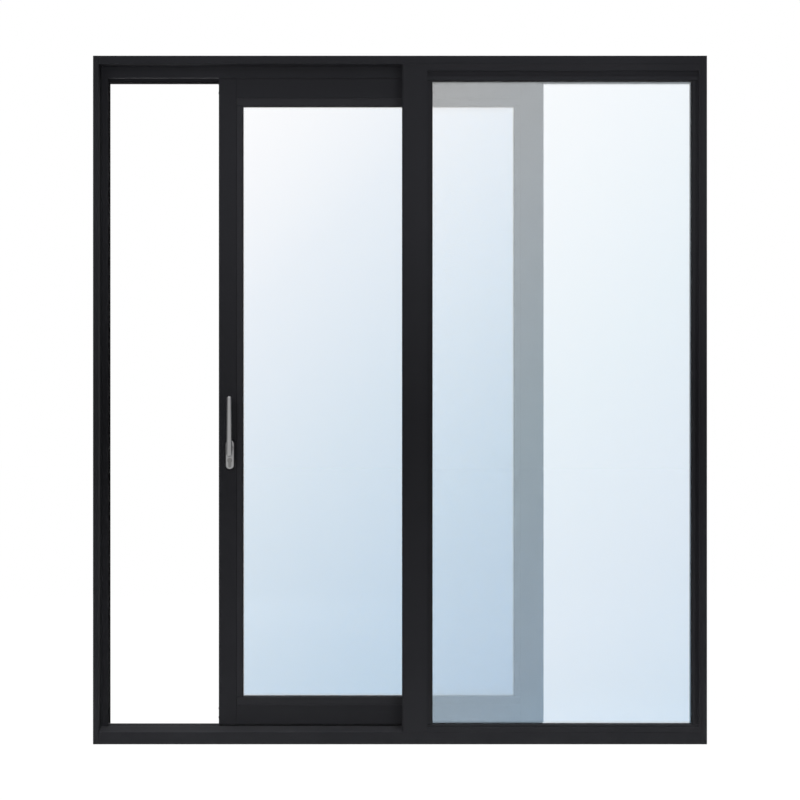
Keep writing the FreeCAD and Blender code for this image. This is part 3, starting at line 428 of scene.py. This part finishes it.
def pile_tree():
    """A woven ribbon along Run, with rows of tufts that stand along Reach and lean a little at random."""
    tree, given, out = new_geometry_tree("brush_pile", [
        ("Corner", "NodeSocketVector"), ("Run", "NodeSocketVector"), ("Width", "NodeSocketVector"),
        ("Reach", "NodeSocketVector"), ("Pitch", "NodeSocketFloat"), ("Rows", "NodeSocketInt"),
        ("Tuft Width", "NodeSocketFloat"), ("Ribbon Share", "NodeSocketFloat"), ("Seed", "NodeSocketInt")])
    nodes, links = tree.nodes, tree.links
    length = vector_step(tree, "LENGTH", given["Run"])
    grid = nodes.new("GeometryNodeMeshGrid")
    links.new(maths(tree, "DIVIDE", length, given["Pitch"]), grid.inputs["Vertices X"])
    links.new(given["Rows"], grid.inputs["Vertices Y"])
    spot = nodes.new("ShaderNodeSeparateXYZ")
    links.new(grid.outputs["UV Map"], spot.inputs["Vector"])
    along = vector_step(tree, "SCALE", given["Run"],
                        ranged(tree, spot.outputs["X"], end_margin, 1 - end_margin))
    across = vector_step(tree, "SCALE", given["Width"],
                         ranged(tree, spot.outputs["Y"], edge_margin, 1 - edge_margin))
    base = vector_step(tree, "ADD", vector_step(tree, "ADD", given["Corner"], along), across)
    placed = nodes.new("GeometryNodeSetPosition")
    links.new(grid.outputs["Mesh"], placed.inputs["Geometry"])
    links.new(base, placed.inputs["Position"])

    tuft = nodes.new("GeometryNodeMeshCone")
    tuft.fill_type = "NONE"
    tuft.inputs["Vertices"].default_value = 3
    tuft.inputs["Side Segments"].default_value = 1
    tuft.inputs["Radius Top"].default_value = 0.0
    links.new(given["Tuft Width"], tuft.inputs["Radius Bottom"])
    links.new(vector_step(tree, "LENGTH", given["Reach"]), tuft.inputs["Depth"])

    lean = nodes.new("FunctionNodeRandomValue")
    lean.data_type = "FLOAT_VECTOR"
    lean.inputs["Min"].default_value = (-tuft_lean,) * 3
    lean.inputs["Max"].default_value = (tuft_lean,) * 3
    links.new(given["Seed"], lean.inputs["Seed"])
    upright = vector_step(tree, "NORMALIZE", given["Reach"])
    leaning = vector_step(tree, "ADD", upright, lean.outputs["Value"])
    turn = nodes.new("FunctionNodeAlignRotationToVector")
    turn.axis = "Z"
    links.new(leaning, turn.inputs["Vector"])
    size = nodes.new("FunctionNodeRandomValue")
    size.data_type = "FLOAT"
    size.inputs[2].default_value = tuft_length[0]
    size.inputs[3].default_value = tuft_length[1]
    links.new(given["Seed"], size.inputs["Seed"])

    stand = nodes.new("GeometryNodeInstanceOnPoints")
    links.new(placed.outputs["Geometry"], stand.inputs["Points"])
    links.new(tuft.outputs["Mesh"], stand.inputs["Instance"])
    links.new(turn.outputs["Rotation"], stand.inputs["Rotation"])
    links.new(size.outputs[1], stand.inputs["Scale"])

    thickness = vector_step(tree, "SCALE", given["Reach"], given["Ribbon Share"])
    spread = vector_step(tree, "ADD", vector_step(tree, "ADD", given["Run"], given["Width"]), thickness)
    ribbon = nodes.new("GeometryNodeMeshCube")
    links.new(vector_step(tree, "ABSOLUTE", spread), ribbon.inputs["Size"])
    middle = vector_step(tree, "ADD", given["Corner"], vector_step(tree, "SCALE", spread, 0.5))
    seat = nodes.new("GeometryNodeTransform")
    links.new(ribbon.outputs["Mesh"], seat.inputs["Geometry"])
    links.new(middle, seat.inputs["Translation"])

    both = nodes.new("GeometryNodeJoinGeometry")
    links.new(stand.outputs["Instances"], both.inputs["Geometry"])
    links.new(seat.outputs["Geometry"], both.inputs["Geometry"])
    real = nodes.new("GeometryNodeRealizeInstances")
    links.new(both.outputs["Geometry"], real.inputs["Geometry"])
    links.new(real.outputs["Geometry"], out["Geometry"])
    return tree


def grown(tree, values):
    """The plain mesh that a geometry tree makes from these input values."""
    holder = bpy.data.objects.new("growing", bpy.data.meshes.new("growing"))
    scene.collection.objects.link(holder)
    modifier = holder.modifiers.new("growth", "NODES")
    modifier.node_group = tree
    for item in tree.interface.items_tree:
        if item.item_type == "SOCKET" and item.in_out == "INPUT":
            modifier[item.identifier] = values[item.name]
    ready = holder.evaluated_get(bpy.context.evaluated_depsgraph_get())
    mesh = bpy.data.meshes.new_from_object(ready)
    holder.modifiers.remove(modifier)
    bpy.data.objects.remove(holder)
    return mesh


def joined_piece(name, meshes, material, smooth_angle=None):
    """One object made of several plain meshes, all in one finish."""
    whole = bmesh.new()
    for mesh in meshes:
        whole.from_mesh(mesh)
    return shaped_piece(name, whole, material, smooth_angle)


def shaped_piece(name, shape, material, smooth_angle=None):
    """An object from a finished shape, shaded smooth up to smooth_angle degrees where one is given."""
    mesh = bpy.data.meshes.new(name)
    shape.to_mesh(mesh)
    shape.free()
    mesh.materials.append(material)
    if smooth_angle is not None:
        mesh.polygons.foreach_set("use_smooth", [True] * len(mesh.polygons))
        mesh.set_sharp_from_angle(angle=math.radians(smooth_angle))
    piece = bpy.data.objects.new(name, mesh)
    scene.collection.objects.link(piece)
    return piece


def strips_of(node):
    """The box of each separate strip in a CAD node, as lowest and highest corners, from the lowest up."""
    shape = bmesh.new()
    shape.from_mesh(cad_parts[node].data)
    bmesh.ops.remove_doubles(shape, verts=shape.verts, dist=0.00001)
    left = set(shape.verts)
    strips = []
    while left:
        found = [left.pop()]
        for vert in found:
            for edge in vert.link_edges:
                other = edge.other_vert(vert)
                if other in left:
                    left.remove(other)
                    found.append(other)
        points = [vert.co for vert in found]
        strips.append((Vector([min(p[i] for p in points) for i in range(3)]),
                       Vector([max(p[i] for p in points) for i in range(3)])))
    shape.free()
    return sorted(strips, key=lambda strip: (strip[0].z, strip[0].x, strip[0].y))


brush_pile = pile_tree()


def brush_piece(name, node, body, reach_axis, seed):
    """Tufted seals in place of a node's plain strips. The pile points to the sash along reach_axis, or
    downwards where that axis is the height."""
    meshes = []
    for low, high in strips_of(node):
        size = high - low
        run_axis = max(range(3), key=lambda i: size[i])
        width_axis = 3 - run_axis - reach_axis
        corner = low.copy()
        reach, run, width = [Vector([size[i] if i == axis else 0 for i in range(3)])
                             for axis in (reach_axis, run_axis, width_axis)]
        from_far_side = reach_axis == 2 or (low.y + high.y) / 2 > track_middle
        if from_far_side:
            corner[reach_axis] = high[reach_axis]
            reach = -reach
        meshes.append(grown(brush_pile, {
            "Corner": corner, "Run": run, "Width": width, "Reach": reach, "Pitch": tuft_pitch,
            "Rows": tuft_rows, "Tuft Width": tuft_width, "Ribbon Share": ribbon_share, "Seed": seed}))
    piece = joined_piece(name, meshes, grey_pile)
    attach(piece, body)
    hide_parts(node)


rail_low, rail_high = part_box("running_rail")
track_middle = (rail_low.y + rail_high.y) / 2
brush_piece("pocket_brushes", "frame_brush_seals", "frame", 1, 3)


# Fixed light: adapters and clip-in beads in the same coating make the right half of the frame into a
# glazing rebate beside the meeting stile. The glass is gripped between black rubber gaskets.
finish_nodes(graphite_coat, "fixed_meeting_stile", "fixed_adapter_head", "fixed_adapter_sill",
             "fixed_adapter_jamb", "fixed_bead_head", "fixed_bead_sill", "fixed_bead_jamb",
             "fixed_bead_stile", "fixed_interlock")
gasket_rubber = mottled_finish("gasket_rubber", ((0.011, 0.011, 0.012, 1), (0.017, 0.017, 0.018, 1)),
                               (0.62, 0.8), clouds=8.0, grain=600.0, grain_share=0.5, peel=900.0,
                              peel_depth=0.00003, specular=0.2)
finish_nodes(gasket_rubber, "fixed_gaskets", "sash_gaskets", "stop_buffers")
spacer_black = mottled_finish("spacer_black", ((0.017, 0.017, 0.018, 1), (0.024, 0.024, 0.025, 1)),
                              (0.45, 0.6), clouds=8.0, grain=600.0, grain_share=0.5, peel=500.0,
                              peel_depth=0.00006, specular=0.3)
finish_nodes(spacer_black, "fixed_glass_spacer", "sash_glass_spacer")
brush_piece("meeting_brush", "meeting_seal", "frame", 1, 5)


# Glass: sealed units whose faces mirror the studio. A painted reflection, whiter near the upper left corner
# and bluer and denser towards the lower right, tints and covers the glass, and each of a unit's four faces
# takes its share.
mirror_metal = 1.0
glass_roughness = 0.02


def glass_painted_reflection(name, panes, reflection_colours, reflection_cover):
    """Each face of the panes lets most light through and mirrors the rest, tinted by a painted reflection.
    reflection_colours and reflection_cover are given evenly from the upper left corner to the lower right
    one."""
    material, tree, shader = new_finish(name)
    low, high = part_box(panes[0])
    place = tree.nodes.new("ShaderNodeTexCoord")
    span = (high.x - low.x) + (high.z - low.z)
    from_corner = vector_step(tree, "SUBTRACT", place.outputs["Object"], (low.x, 0, high.z))
    diagonal = vector_step(tree, "DOT_PRODUCT", from_corner, (1 / span, 0, -1 / span))

    def ramp(colours):
        made = tree.nodes.new("ShaderNodeValToRGB")
        stops = made.color_ramp.elements
        stops[0].color = colours[0]
        stops[-1].color = colours[-1]
        for number, colour in enumerate(colours[1:-1], start=1):
            stops.new(number / (len(colours) - 1)).color = colour
        tree.links.new(diagonal, made.inputs["Fac"])
        return made.outputs["Color"]

    tree.links.new(ramp([(*colour, 1) for colour in reflection_colours]), shader.inputs["Base Color"])
    tree.links.new(ramp([(cover, cover, cover, 1) for cover in reflection_cover]), shader.inputs["Alpha"])
    shader.inputs["Metallic"].default_value = mirror_metal
    shader.inputs["Roughness"].default_value = glass_roughness
    finish_nodes(material, *panes)


glass_painted_reflection("fixed_glass", ["fixed_glass_outer", "fixed_glass_inner"],
             [(0.980, 0.987, 0.995), (0.838, 0.911, 0.968), (0.683, 0.816, 0.906),
              (0.578, 0.722, 0.857), (0.432, 0.634, 0.808)], [0.1468, 0.157, 0.1676, 0.1832, 0.1998])
glass_painted_reflection("sash_glass", ["sash_glass_outer", "sash_glass_inner"],
             [(0.791, 0.826, 0.933), (0.380, 0.571, 0.774), (0.259, 0.505, 0.710),
              (0.187, 0.446, 0.677), (0.151, 0.418, 0.645)], [0.0315, 0.0788, 0.1254, 0.172, 0.2201])


# Sash: hollow stiles run full height and the rails fit between them, screwed through the stiles' edges.
# Beads hold the glass, and a hooked strip on the meeting stile catches the fixed stile's when it is closed.
# The sash beads are a shade lighter than the rest of the coating: painted light, for their faces catching
# the lamps.
bead_painted_light_colour = (0.0200, 0.0202, 0.0232, 1)
bead_painted_light_shade = (0.0166, 0.0168, 0.0196, 1)
finish_nodes(graphite_coat, "sash_lock_stile", "sash_meeting_stile", "sash_top_rail", "sash_bottom_rail",
             "sash_interlock")
# Painted light: the beads' lighter tone stands in for the light that their faces catch.
bead_painted_light_coat = powder_coat("bead_painted_light_coat", (bead_painted_light_colour, bead_painted_light_shade), (0.55, 0.7), 0.15)
finish_nodes(bead_painted_light_coat, "sash_beads_level", "sash_beads_upright")
brush_piece("sash_bottom_brushes", "sash_bottom_seals", "sash", 2, 9)


# Running gear: zinc-plated carriages on off-white nylon rollers with steel bearings, and black nylon shoes
# that guide the top of the sash.
zinc_plate = mottled_finish("zinc_plate", ((0.44, 0.45, 0.46, 1), (0.30, 0.31, 0.31, 1)), (0.3, 0.5),
                            clouds=40.0, grain=500.0, grain_share=0.4, peel=700.0, peel_depth=0.00002,
                            metallic=1.0)


def nylon(name, tones, rough):
    return mottled_finish(name, tones, rough, clouds=30.0, grain=600.0, grain_share=0.5, peel=900.0,
                          peel_depth=0.00002, specular=0.4)


white_nylon = nylon("white_nylon", ((0.60, 0.59, 0.55, 1), (0.52, 0.51, 0.47, 1)), (0.4, 0.55))
black_nylon = nylon("black_nylon", ((0.020, 0.020, 0.021, 1), (0.030, 0.030, 0.031, 1)), (0.45, 0.6))
finish_nodes(zinc_plate, "roller_carriages")
finish_nodes(white_nylon, "rollers")
finish_nodes(black_nylon, "top_guide_shoes")

shield_inner = 0.0046
shield_outer = 0.0105
shield_stand = 0.0004
shield_sunk = 0.0002
shield_bevel = 0.0006
shield_lip = 0.0012


def turned(shape, profile, place, steps=40):
    """Adds a surface turned from (radius, height) points. place(a, b, h) puts a point across the axis at
    (a, b) and at height h along it. A point with no radius closes the surface."""
    rings = []
    for radius, height in profile:
        if radius == 0:
            rings.append([shape.verts.new(place(0, 0, height))])
            continue
        angles = [2 * math.pi * i / steps for i in range(steps)]
        rings.append([shape.verts.new(place(radius * math.cos(a), radius * math.sin(a), height))
                      for a in angles])
    stack(shape, rings, closed=False)


def skin(shape, first, second):
    """Joins two closed rings with faces. A ring of one point makes a fan."""
    count = max(len(first), len(second))
    for i in range(count):
        j = (i + 1) % count
        corners = []
        for vert in (first[i % len(first)], first[j % len(first)], second[j % len(second)],
                     second[i % len(second)]):
            if vert not in corners:
                corners.append(vert)
        shape.faces.new(corners)


def stack(shape, rings, closed=True):
    """Joins rings one after another, and closes the first and the last with a face each."""
    for first, second in zip(rings, rings[1:]):
        skin(shape, first, second)
    if closed:
        shape.faces.new(rings[0])
        shape.faces.new(rings[-1])


def turned_outwards(shape):
    bmesh.ops.recalc_face_normals(shape, faces=shape.faces)
    return shape


bearings = bmesh.new()
for low, high in strips_of("rollers"):
    middle = (low + high) / 2
    for side, face in ((-1, low.y), (1, high.y)):
        def on_roller(a, b, h, side=side, face=face):
            return Vector((middle.x + a, face + side * h, middle.z + b))
        turned(bearings, [(shield_inner, -shield_sunk), (shield_outer, -shield_sunk),
                          (shield_outer, shield_stand / 2), (shield_outer - shield_bevel, shield_stand),
                          (shield_inner + shield_lip, shield_stand), (shield_inner, shield_stand / 2),
                          (shield_inner, -shield_sunk)], on_roller, 32)
bmesh.ops.remove_doubles(bearings, verts=bearings.verts, dist=0.000001)
piece = shaped_piece("roller_bearings", turned_outwards(bearings), zinc_plate, 35)
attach(piece, "sash")


# Lock: a long stainless faceplate let into the lock stile, three hook bolts behind its slots, and three
# stainless keepers screwed to the jamb.
upright_lines = (1.0, 1.0, 0.02)
stainless = mottled_finish("stainless", ((0.46, 0.46, 0.46, 1), (0.34, 0.34, 0.35, 1)), (0.26, 0.42),
                           clouds=6.0, grain=500.0, grain_share=0.4, peel=420.0, peel_depth=0.00001,
                           metallic=1.0, stretch=upright_lines)
finish_nodes(stainless, "lock_faceplate", "lock_keepers")
finish_nodes(zinc_plate, "lock_hook_bolts")


# Handle: a lever and a plate of satin nickel on each side of the lock stile, on one square spindle. Both
# are cast and then brushed along their length. The key cylinder passes through both plates.
lever_low, lever_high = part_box("handle_lever_front")
plate_low, plate_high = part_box("handle_plate_front")
stile_low, stile_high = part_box("sash_lock_stile")
handle_x = (plate_low.x + plate_high.x) / 2
foot_radius = 0.0098
tip_radius = 0.0078
plate_radius = (plate_high.x - plate_low.x) / 2
plate_thickness = plate_high.y - plate_low.y
lever_thickness = 0.012
lever_face = stile_low.y - lever_low.y      # from the stile's face to the front of the lever
cylinder_low, cylinder_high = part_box("lock_cylinder")
cylinder_radius = 0.0085
cylinder_below = 0.043                      # from the spindle down to the middle of the cylinder
cylinder_z = cylinder_high.z - cylinder_radius
spindle_z = cylinder_z + cylinder_below
neck_radius = 0.0095
satin_nickel = mottled_finish("satin_nickel", ((0.36, 0.36, 0.362, 1), (0.29, 0.29, 0.292, 1)),
                              (0.27, 0.38), clouds=40.0, grain=900.0, grain_share=0.5, peel=520.0,
                              peel_depth=0.000012, metallic=1.0, stretch=upright_lines)
dark_nickel = mottled_finish("dark_nickel", ((0.225, 0.223, 0.220, 1), (0.180, 0.178, 0.176, 1)),
                             (0.3, 0.42), clouds=40.0, grain=900.0, grain_share=0.5, peel=700.0,
                             peel_depth=0.000008, metallic=1.0)


def off_stile(side, x=0.0, z=0.0):
    """Places a point at (a, b) from (x, z) and at a height off the stile's face, towards the camera for
    side -1 and away from it for side 1."""
    face = stile_low.y if side < 0 else stile_high.y

    def place(a, b, off):
        return Vector((x + a, face + side * off, z + b))
    return place


def lever_shape(side):
    """A flat rounded bar that narrows towards its tip, with a waisted neck round the spindle."""
    shape = bmesh.new()
    place = off_stile(side, handle_x)
    low_centre = lever_low.z + foot_radius
    high_centre = lever_high.z - tip_radius
    middle = lever_face - lever_thickness / 2
    steps, body_steps, around = 10, 24, 36
    softness = 2.6                          # 2 makes the bar's section an ellipse, and more squares it
    end_fullness = 0.6                      # 1 thins the bar's ends as it narrows them, and less later

    def rounded_end(centre, radius, way):
        angles = [math.pi / 2 * i / steps for i in range(1, steps + 1)]
        return [(centre + way * radius * math.cos(a), radius * math.sin(a), math.sin(a)) for a in angles]

    stations = rounded_end(low_centre, foot_radius, -1)
    for i in range(1, body_steps):
        share = i / body_steps
        stations.append((low_centre + (high_centre - low_centre) * share,
                         foot_radius + (tip_radius - foot_radius) * share, 1))
    stations += reversed(rounded_end(high_centre, tip_radius, 1))
    rings = [[shape.verts.new(place(0, lever_low.z, middle))]]
    for z, half_width, share in stations:
        half_depth = lever_thickness / 2 * share ** end_fullness
        ring = []
        for k in range(around):
            angle = 2 * math.pi * k / around
            c, s = math.cos(angle), math.sin(angle)
            across = half_width * math.copysign(abs(c) ** (2 / softness), c)
            deep = half_depth * math.copysign(abs(s) ** (2 / softness), s)
            ring.append(shape.verts.new(place(across, z, middle + deep)))
        rings.append(ring)
    rings.append([shape.verts.new(place(0, lever_high.z, middle))])
    stack(shape, rings, closed=False)
    foot = 0.0004
    waist = neck_radius - 0.0012
    turned(shape, [(0, foot), (neck_radius, foot), (neck_radius, plate_thickness + 0.003),
                   (waist + 0.0004, plate_thickness + 0.006), (waist, plate_thickness + 0.012),
                   (waist, middle - 0.012), (waist + 0.0005, middle - 0.0085),
                   (neck_radius, middle - 0.0055), (neck_radius, middle), (0, middle)],
           off_stile(side, handle_x, spindle_z))
    return shape


def add_box(shape, low, high):
    """Adds a plain closed box between two corners."""
    made = bmesh.ops.create_cube(shape, size=1.0)
    centre, size = (low + high) / 2, high - low
    for vert in made["verts"]:
        vert.co = Vector((centre[i] + vert.co[i] * size[i] for i in range(3)))


def plate_shape(side):
    """The escutcheon: a capsule with a rounded front edge, and a low collar round the lever's neck."""
    shape = bmesh.new()
    place = off_stile(side, handle_x)
    rounding, seat, arc_steps, edge_steps = 0.0048, 0.0002, 24, 8
    collar_inner, collar_outer, collar_height = 0.0099, 0.0130, 0.0010
    collar_bevel = 0.0004
    low_centre = plate_low.z + plate_radius
    high_centre = plate_high.z - plate_radius

    def outline(inset, off):
        radius = plate_radius - inset
        ring = []
        for centre, start in ((high_centre, 0), (low_centre, math.pi)):
            for k in range(arc_steps + 1):
                angle = start + math.pi * k / arc_steps
                ring.append(shape.verts.new(place(radius * math.cos(angle),
                                                  centre + radius * math.sin(angle), off)))
        return ring

    rings = [outline(0, seat)]
    for k in range(edge_steps + 1):
        angle = math.pi / 2 * k / edge_steps
        rings.append(outline(rounding * (1 - math.cos(angle)),
                             plate_thickness - rounding * (1 - math.sin(angle))))
    stack(shape, rings)
    root = plate_thickness - collar_height
    crown = plate_thickness + collar_height
    turned(shape, [(collar_inner, root), (collar_outer, root),
                   (collar_outer, plate_thickness + collar_bevel),
                   (collar_outer - collar_bevel, crown), (collar_inner + collar_bevel, crown),
                   (collar_inner, crown - collar_bevel), (collar_inner, root)],
           off_stile(side, handle_x, spindle_z))
    return shape


def cylinder_shape():
    """The keyhole-shaped lock cylinder, with a turning plug and a key slot at each end."""
    shape = bmesh.new()
    stem = 0.005
    stem_centre = cylinder_low.z + stem
    bevel = 0.0005
    barrel_steps, stem_steps = 32, 16

    def outline(inset, y):
        ring = []
        big, small = cylinder_radius - inset, stem - inset
        corner = math.asin(small / big)
        for k in range(barrel_steps + 1):
            angle = -math.pi / 2 + corner + (2 * math.pi - 2 * corner) * k / barrel_steps
            ring.append((big * math.cos(angle), cylinder_z + big * math.sin(angle)))
        for k in range(stem_steps + 1):
            angle = math.pi + math.pi * k / stem_steps
            ring.append((small * math.cos(angle), stem_centre + small * math.sin(angle)))
        return [shape.verts.new(Vector((handle_x + x, y, z))) for x, z in ring]

    stack(shape, [outline(bevel, cylinder_low.y), outline(0, cylinder_low.y + bevel),
                  outline(0, cylinder_high.y - bevel), outline(bevel, cylinder_high.y)])
    return shape


def plug_shape(shape, side):
    """Adds a cylinder's turning plug, a low disc with a bevelled rim and a real key slot."""
    face = cylinder_low.y if side < 0 else cylinder_high.y
    plug, plug_stand, rim, bevel, count = 0.0063, 0.0004, 0.0001, 0.0003, 32
    slot_half_width, slot_half_height, slot_depth, behind_slot = 0.0010, 0.0041, 0.004, 0.001
    angles = [2 * math.pi * k / count for k in range(count)]

    def circle(radius, sunk):
        return [shape.verts.new(Vector((handle_x + radius * math.cos(a), face - side * sunk,
                                        cylinder_z + radius * math.sin(a)))) for a in angles]

    def slot(sunk):
        ring = []
        for a in angles:
            c, s = math.cos(a), math.sin(a)
            reach = min(slot_half_width / max(abs(c), 1e-6), slot_half_height / max(abs(s), 1e-6))
            ring.append(shape.verts.new(Vector((handle_x + reach * c, face - side * sunk,
                                                cylinder_z + reach * s))))
        return ring

    stack(shape, [circle(plug, slot_depth + behind_slot), circle(plug, -rim),
                  circle(plug - bevel, -plug_stand), slot(-plug_stand), slot(slot_depth)])


spindle_half = 0.004
spindle_clear = 0.0003                      # past the stile's back, short of the back lever
spindle_seat = 0.0013                       # past its front, into the front lever's neck
for end, side in (("front", -1), ("back", 1)):
    lever = lever_shape(side)
    if side < 0:
        half = spindle_half
        add_box(lever, Vector((handle_x - half, stile_low.y - spindle_seat, spindle_z - half)),
                Vector((handle_x + half, stile_high.y + spindle_clear, spindle_z + half)))
    piece = shaped_piece("lever_" + end, turned_outwards(lever), satin_nickel, 40)
    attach(piece, "handle")
    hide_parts("handle_lever_" + end)
    piece = shaped_piece("escutcheon_" + end, turned_outwards(plate_shape(side)), satin_nickel, 40)
    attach(piece, "sash")
    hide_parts("handle_plate_" + end)

cylinder = cylinder_shape()
for side in (-1, 1):
    plug_shape(cylinder, side)
piece = shaped_piece("key_cylinder", turned_outwards(cylinder), dark_nickel, 35)
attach(piece, "sash")
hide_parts("lock_cylinder")


# Screws: low domed heads with a cross recess. Stainless ones hold the faceplate and keepers, and coated
# ones the hooked strips and the corners of the sash.
head_radius = 0.0042
head_height = 0.0014


def screw_head():
    """A low domed head with a cross recess, standing on the origin along Z."""
    shape = bmesh.new()
    count = 32
    arm, reach, recess, recess_taper = 0.0006, 0.0022, 0.0009, 0.75
    dome = ((1.0, 0.0), (1.0, 0.35), (0.93, 0.68), (0.76, 0.92), (0.60, 1.0))  # of radius and height

    def circle(radius, height):
        return [shape.verts.new((radius * math.cos(2 * math.pi * k / count),
                                 radius * math.sin(2 * math.pi * k / count), height))
                for k in range(count)]

    def cross(height, scale):
        ring = []
        for k in range(count):
            angle = 2 * math.pi * k / count
            c, s = abs(math.cos(angle)), abs(math.sin(angle))
            long, short = max(c, s), min(c, s)
            out = min(reach / long, arm / max(short, 1e-6)) * scale
            out = max(out, arm * scale / long)
            ring.append(shape.verts.new((out * math.cos(angle), out * math.sin(angle), height)))
        return ring

    rings = [circle(head_radius * wide, head_height * high) for wide, high in dome]
    stack(shape, rings + [cross(head_height, 1.0), cross(head_height - recess, recess_taper)])
    return shaped_piece("screw_pattern", turned_outwards(shape), stainless, 35)


def screw_row_tree():
    """Copies of a screw at even steps from Start, each turned to face along Facing and spun at random."""
    tree, given, out = new_geometry_tree("screw_row", [
        ("Screw", "NodeSocketObject"), ("Start", "NodeSocketVector"), ("Step", "NodeSocketVector"),
        ("Count", "NodeSocketInt"), ("Facing", "NodeSocketVector"), ("Seed", "NodeSocketInt")])
    nodes, links = tree.nodes, tree.links
    row = nodes.new("GeometryNodeMeshLine")
    row.mode = "OFFSET"
    links.new(given["Count"], row.inputs["Count"])
    links.new(given["Start"], row.inputs["Start Location"])
    links.new(given["Step"], row.inputs["Offset"])
    pattern = nodes.new("GeometryNodeObjectInfo")
    links.new(given["Screw"], pattern.inputs["Object"])
    facing = nodes.new("FunctionNodeAlignRotationToVector")
    facing.axis = "Z"
    links.new(given["Facing"], facing.inputs["Vector"])
    spin = nodes.new("FunctionNodeRandomValue")
    spin.data_type = "FLOAT_VECTOR"
    spin.inputs["Min"].default_value = (0, 0, 0)
    spin.inputs["Max"].default_value = (0, 0, math.pi / 2)
    links.new(given["Seed"], spin.inputs["Seed"])
    spun = nodes.new("FunctionNodeRotateRotation")
    spun.rotation_space = "LOCAL"
    links.new(facing.outputs["Rotation"], spun.inputs["Rotation"])
    links.new(spin.outputs["Value"], spun.inputs["Rotate By"])
    put = nodes.new("GeometryNodeInstanceOnPoints")
    links.new(row.outputs["Mesh"], put.inputs["Points"])
    links.new(pattern.outputs["Geometry"], put.inputs["Instance"])
    links.new(spun.outputs["Rotation"], put.inputs["Rotation"])
    real = nodes.new("GeometryNodeRealizeInstances")
    links.new(put.outputs["Instances"], real.inputs["Geometry"])
    links.new(real.outputs["Geometry"], out["Geometry"])
    return tree


screw_pattern = screw_head()
screw_row = screw_row_tree()


def screws(start, end, count, facing, seed):
    """A row of screws from start to end."""
    start, end = Vector(start), Vector(end)
    step = (end - start) / (count - 1)
    return grown(screw_row, {"Screw": screw_pattern, "Start": start, "Step": step, "Count": count,
                             "Facing": Vector(facing), "Seed": seed})


faceplate_low, faceplate_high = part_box("lock_faceplate")
end_inset = 0.02
lock_screws = [screws((faceplate_low.x, track_middle, faceplate_low.z + end_inset),
                      (faceplate_low.x, track_middle, faceplate_high.z - end_inset), 6, (-1, 0, 0), 1)]
piece = joined_piece("faceplate_screws", lock_screws, stainless, 35)
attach(piece, "sash")

keeper_screws = []
keeper_inset = 0.014
for number, (low, high) in enumerate(strips_of("lock_keepers")):
    keeper_screws.append(screws((high.x, track_middle, low.z + keeper_inset),
                                (high.x, track_middle, high.z - keeper_inset), 2, (1, 0, 0), 11 + number))
piece = joined_piece("keeper_screws", keeper_screws, stainless, 35)
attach(piece, "frame")

coated_screw = mottled_finish("coated_screw", ((0.018, 0.018, 0.020, 1), (0.024, 0.024, 0.026, 1)),
                              (0.4, 0.55), clouds=60.0, grain=900.0, grain_share=0.5, peel=900.0,
                              peel_depth=0.00001, specular=0.35)
hook_low, hook_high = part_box("fixed_interlock")
strip_thickness = 0.0025
strip_edge = 0.009                          # from the strip's edge to the middle of its flat foot
foot_middle = hook_low.x + strip_edge
strip_inset = 0.06
strip_count = 8
fixed_strip = [screws((foot_middle, hook_low.y + strip_thickness, hook_low.z + strip_inset),
                      (foot_middle, hook_low.y + strip_thickness, hook_high.z - strip_inset),
                      strip_count, (0, 1, 0), 21)]
piece = joined_piece("fixed_strip_screws", fixed_strip, coated_screw, 35)
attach(piece, "frame")

catch_low, catch_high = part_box("sash_interlock")
corner_inset = 0.011
bottom_rail_screws = (0.024, 0.056)         # metres over the lock stile's foot
top_rail_screws = (0.068, 0.036)            # metres under its top
stile_corners = []
for number, y in enumerate((stile_low.y + corner_inset, stile_high.y - corner_inset)):
    for start, end in ([stile_low.z + level for level in bottom_rail_screws],
                       [stile_high.z - level for level in top_rail_screws]):
        stile_corners.append(screws((stile_low.x, y, start), (stile_low.x, y, end), 2, (-1, 0, 0),
                                    31 + number))
stile_corners.append(screws((catch_high.x, track_middle, catch_low.z + strip_inset),
                            (catch_high.x, track_middle, catch_high.z - strip_inset),
                            strip_count, (1, 0, 0), 41))
piece = joined_piece("sash_screws", stile_corners, coated_screw, 35)
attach(piece, "sash")
bpy.data.objects.remove(screw_pattern)
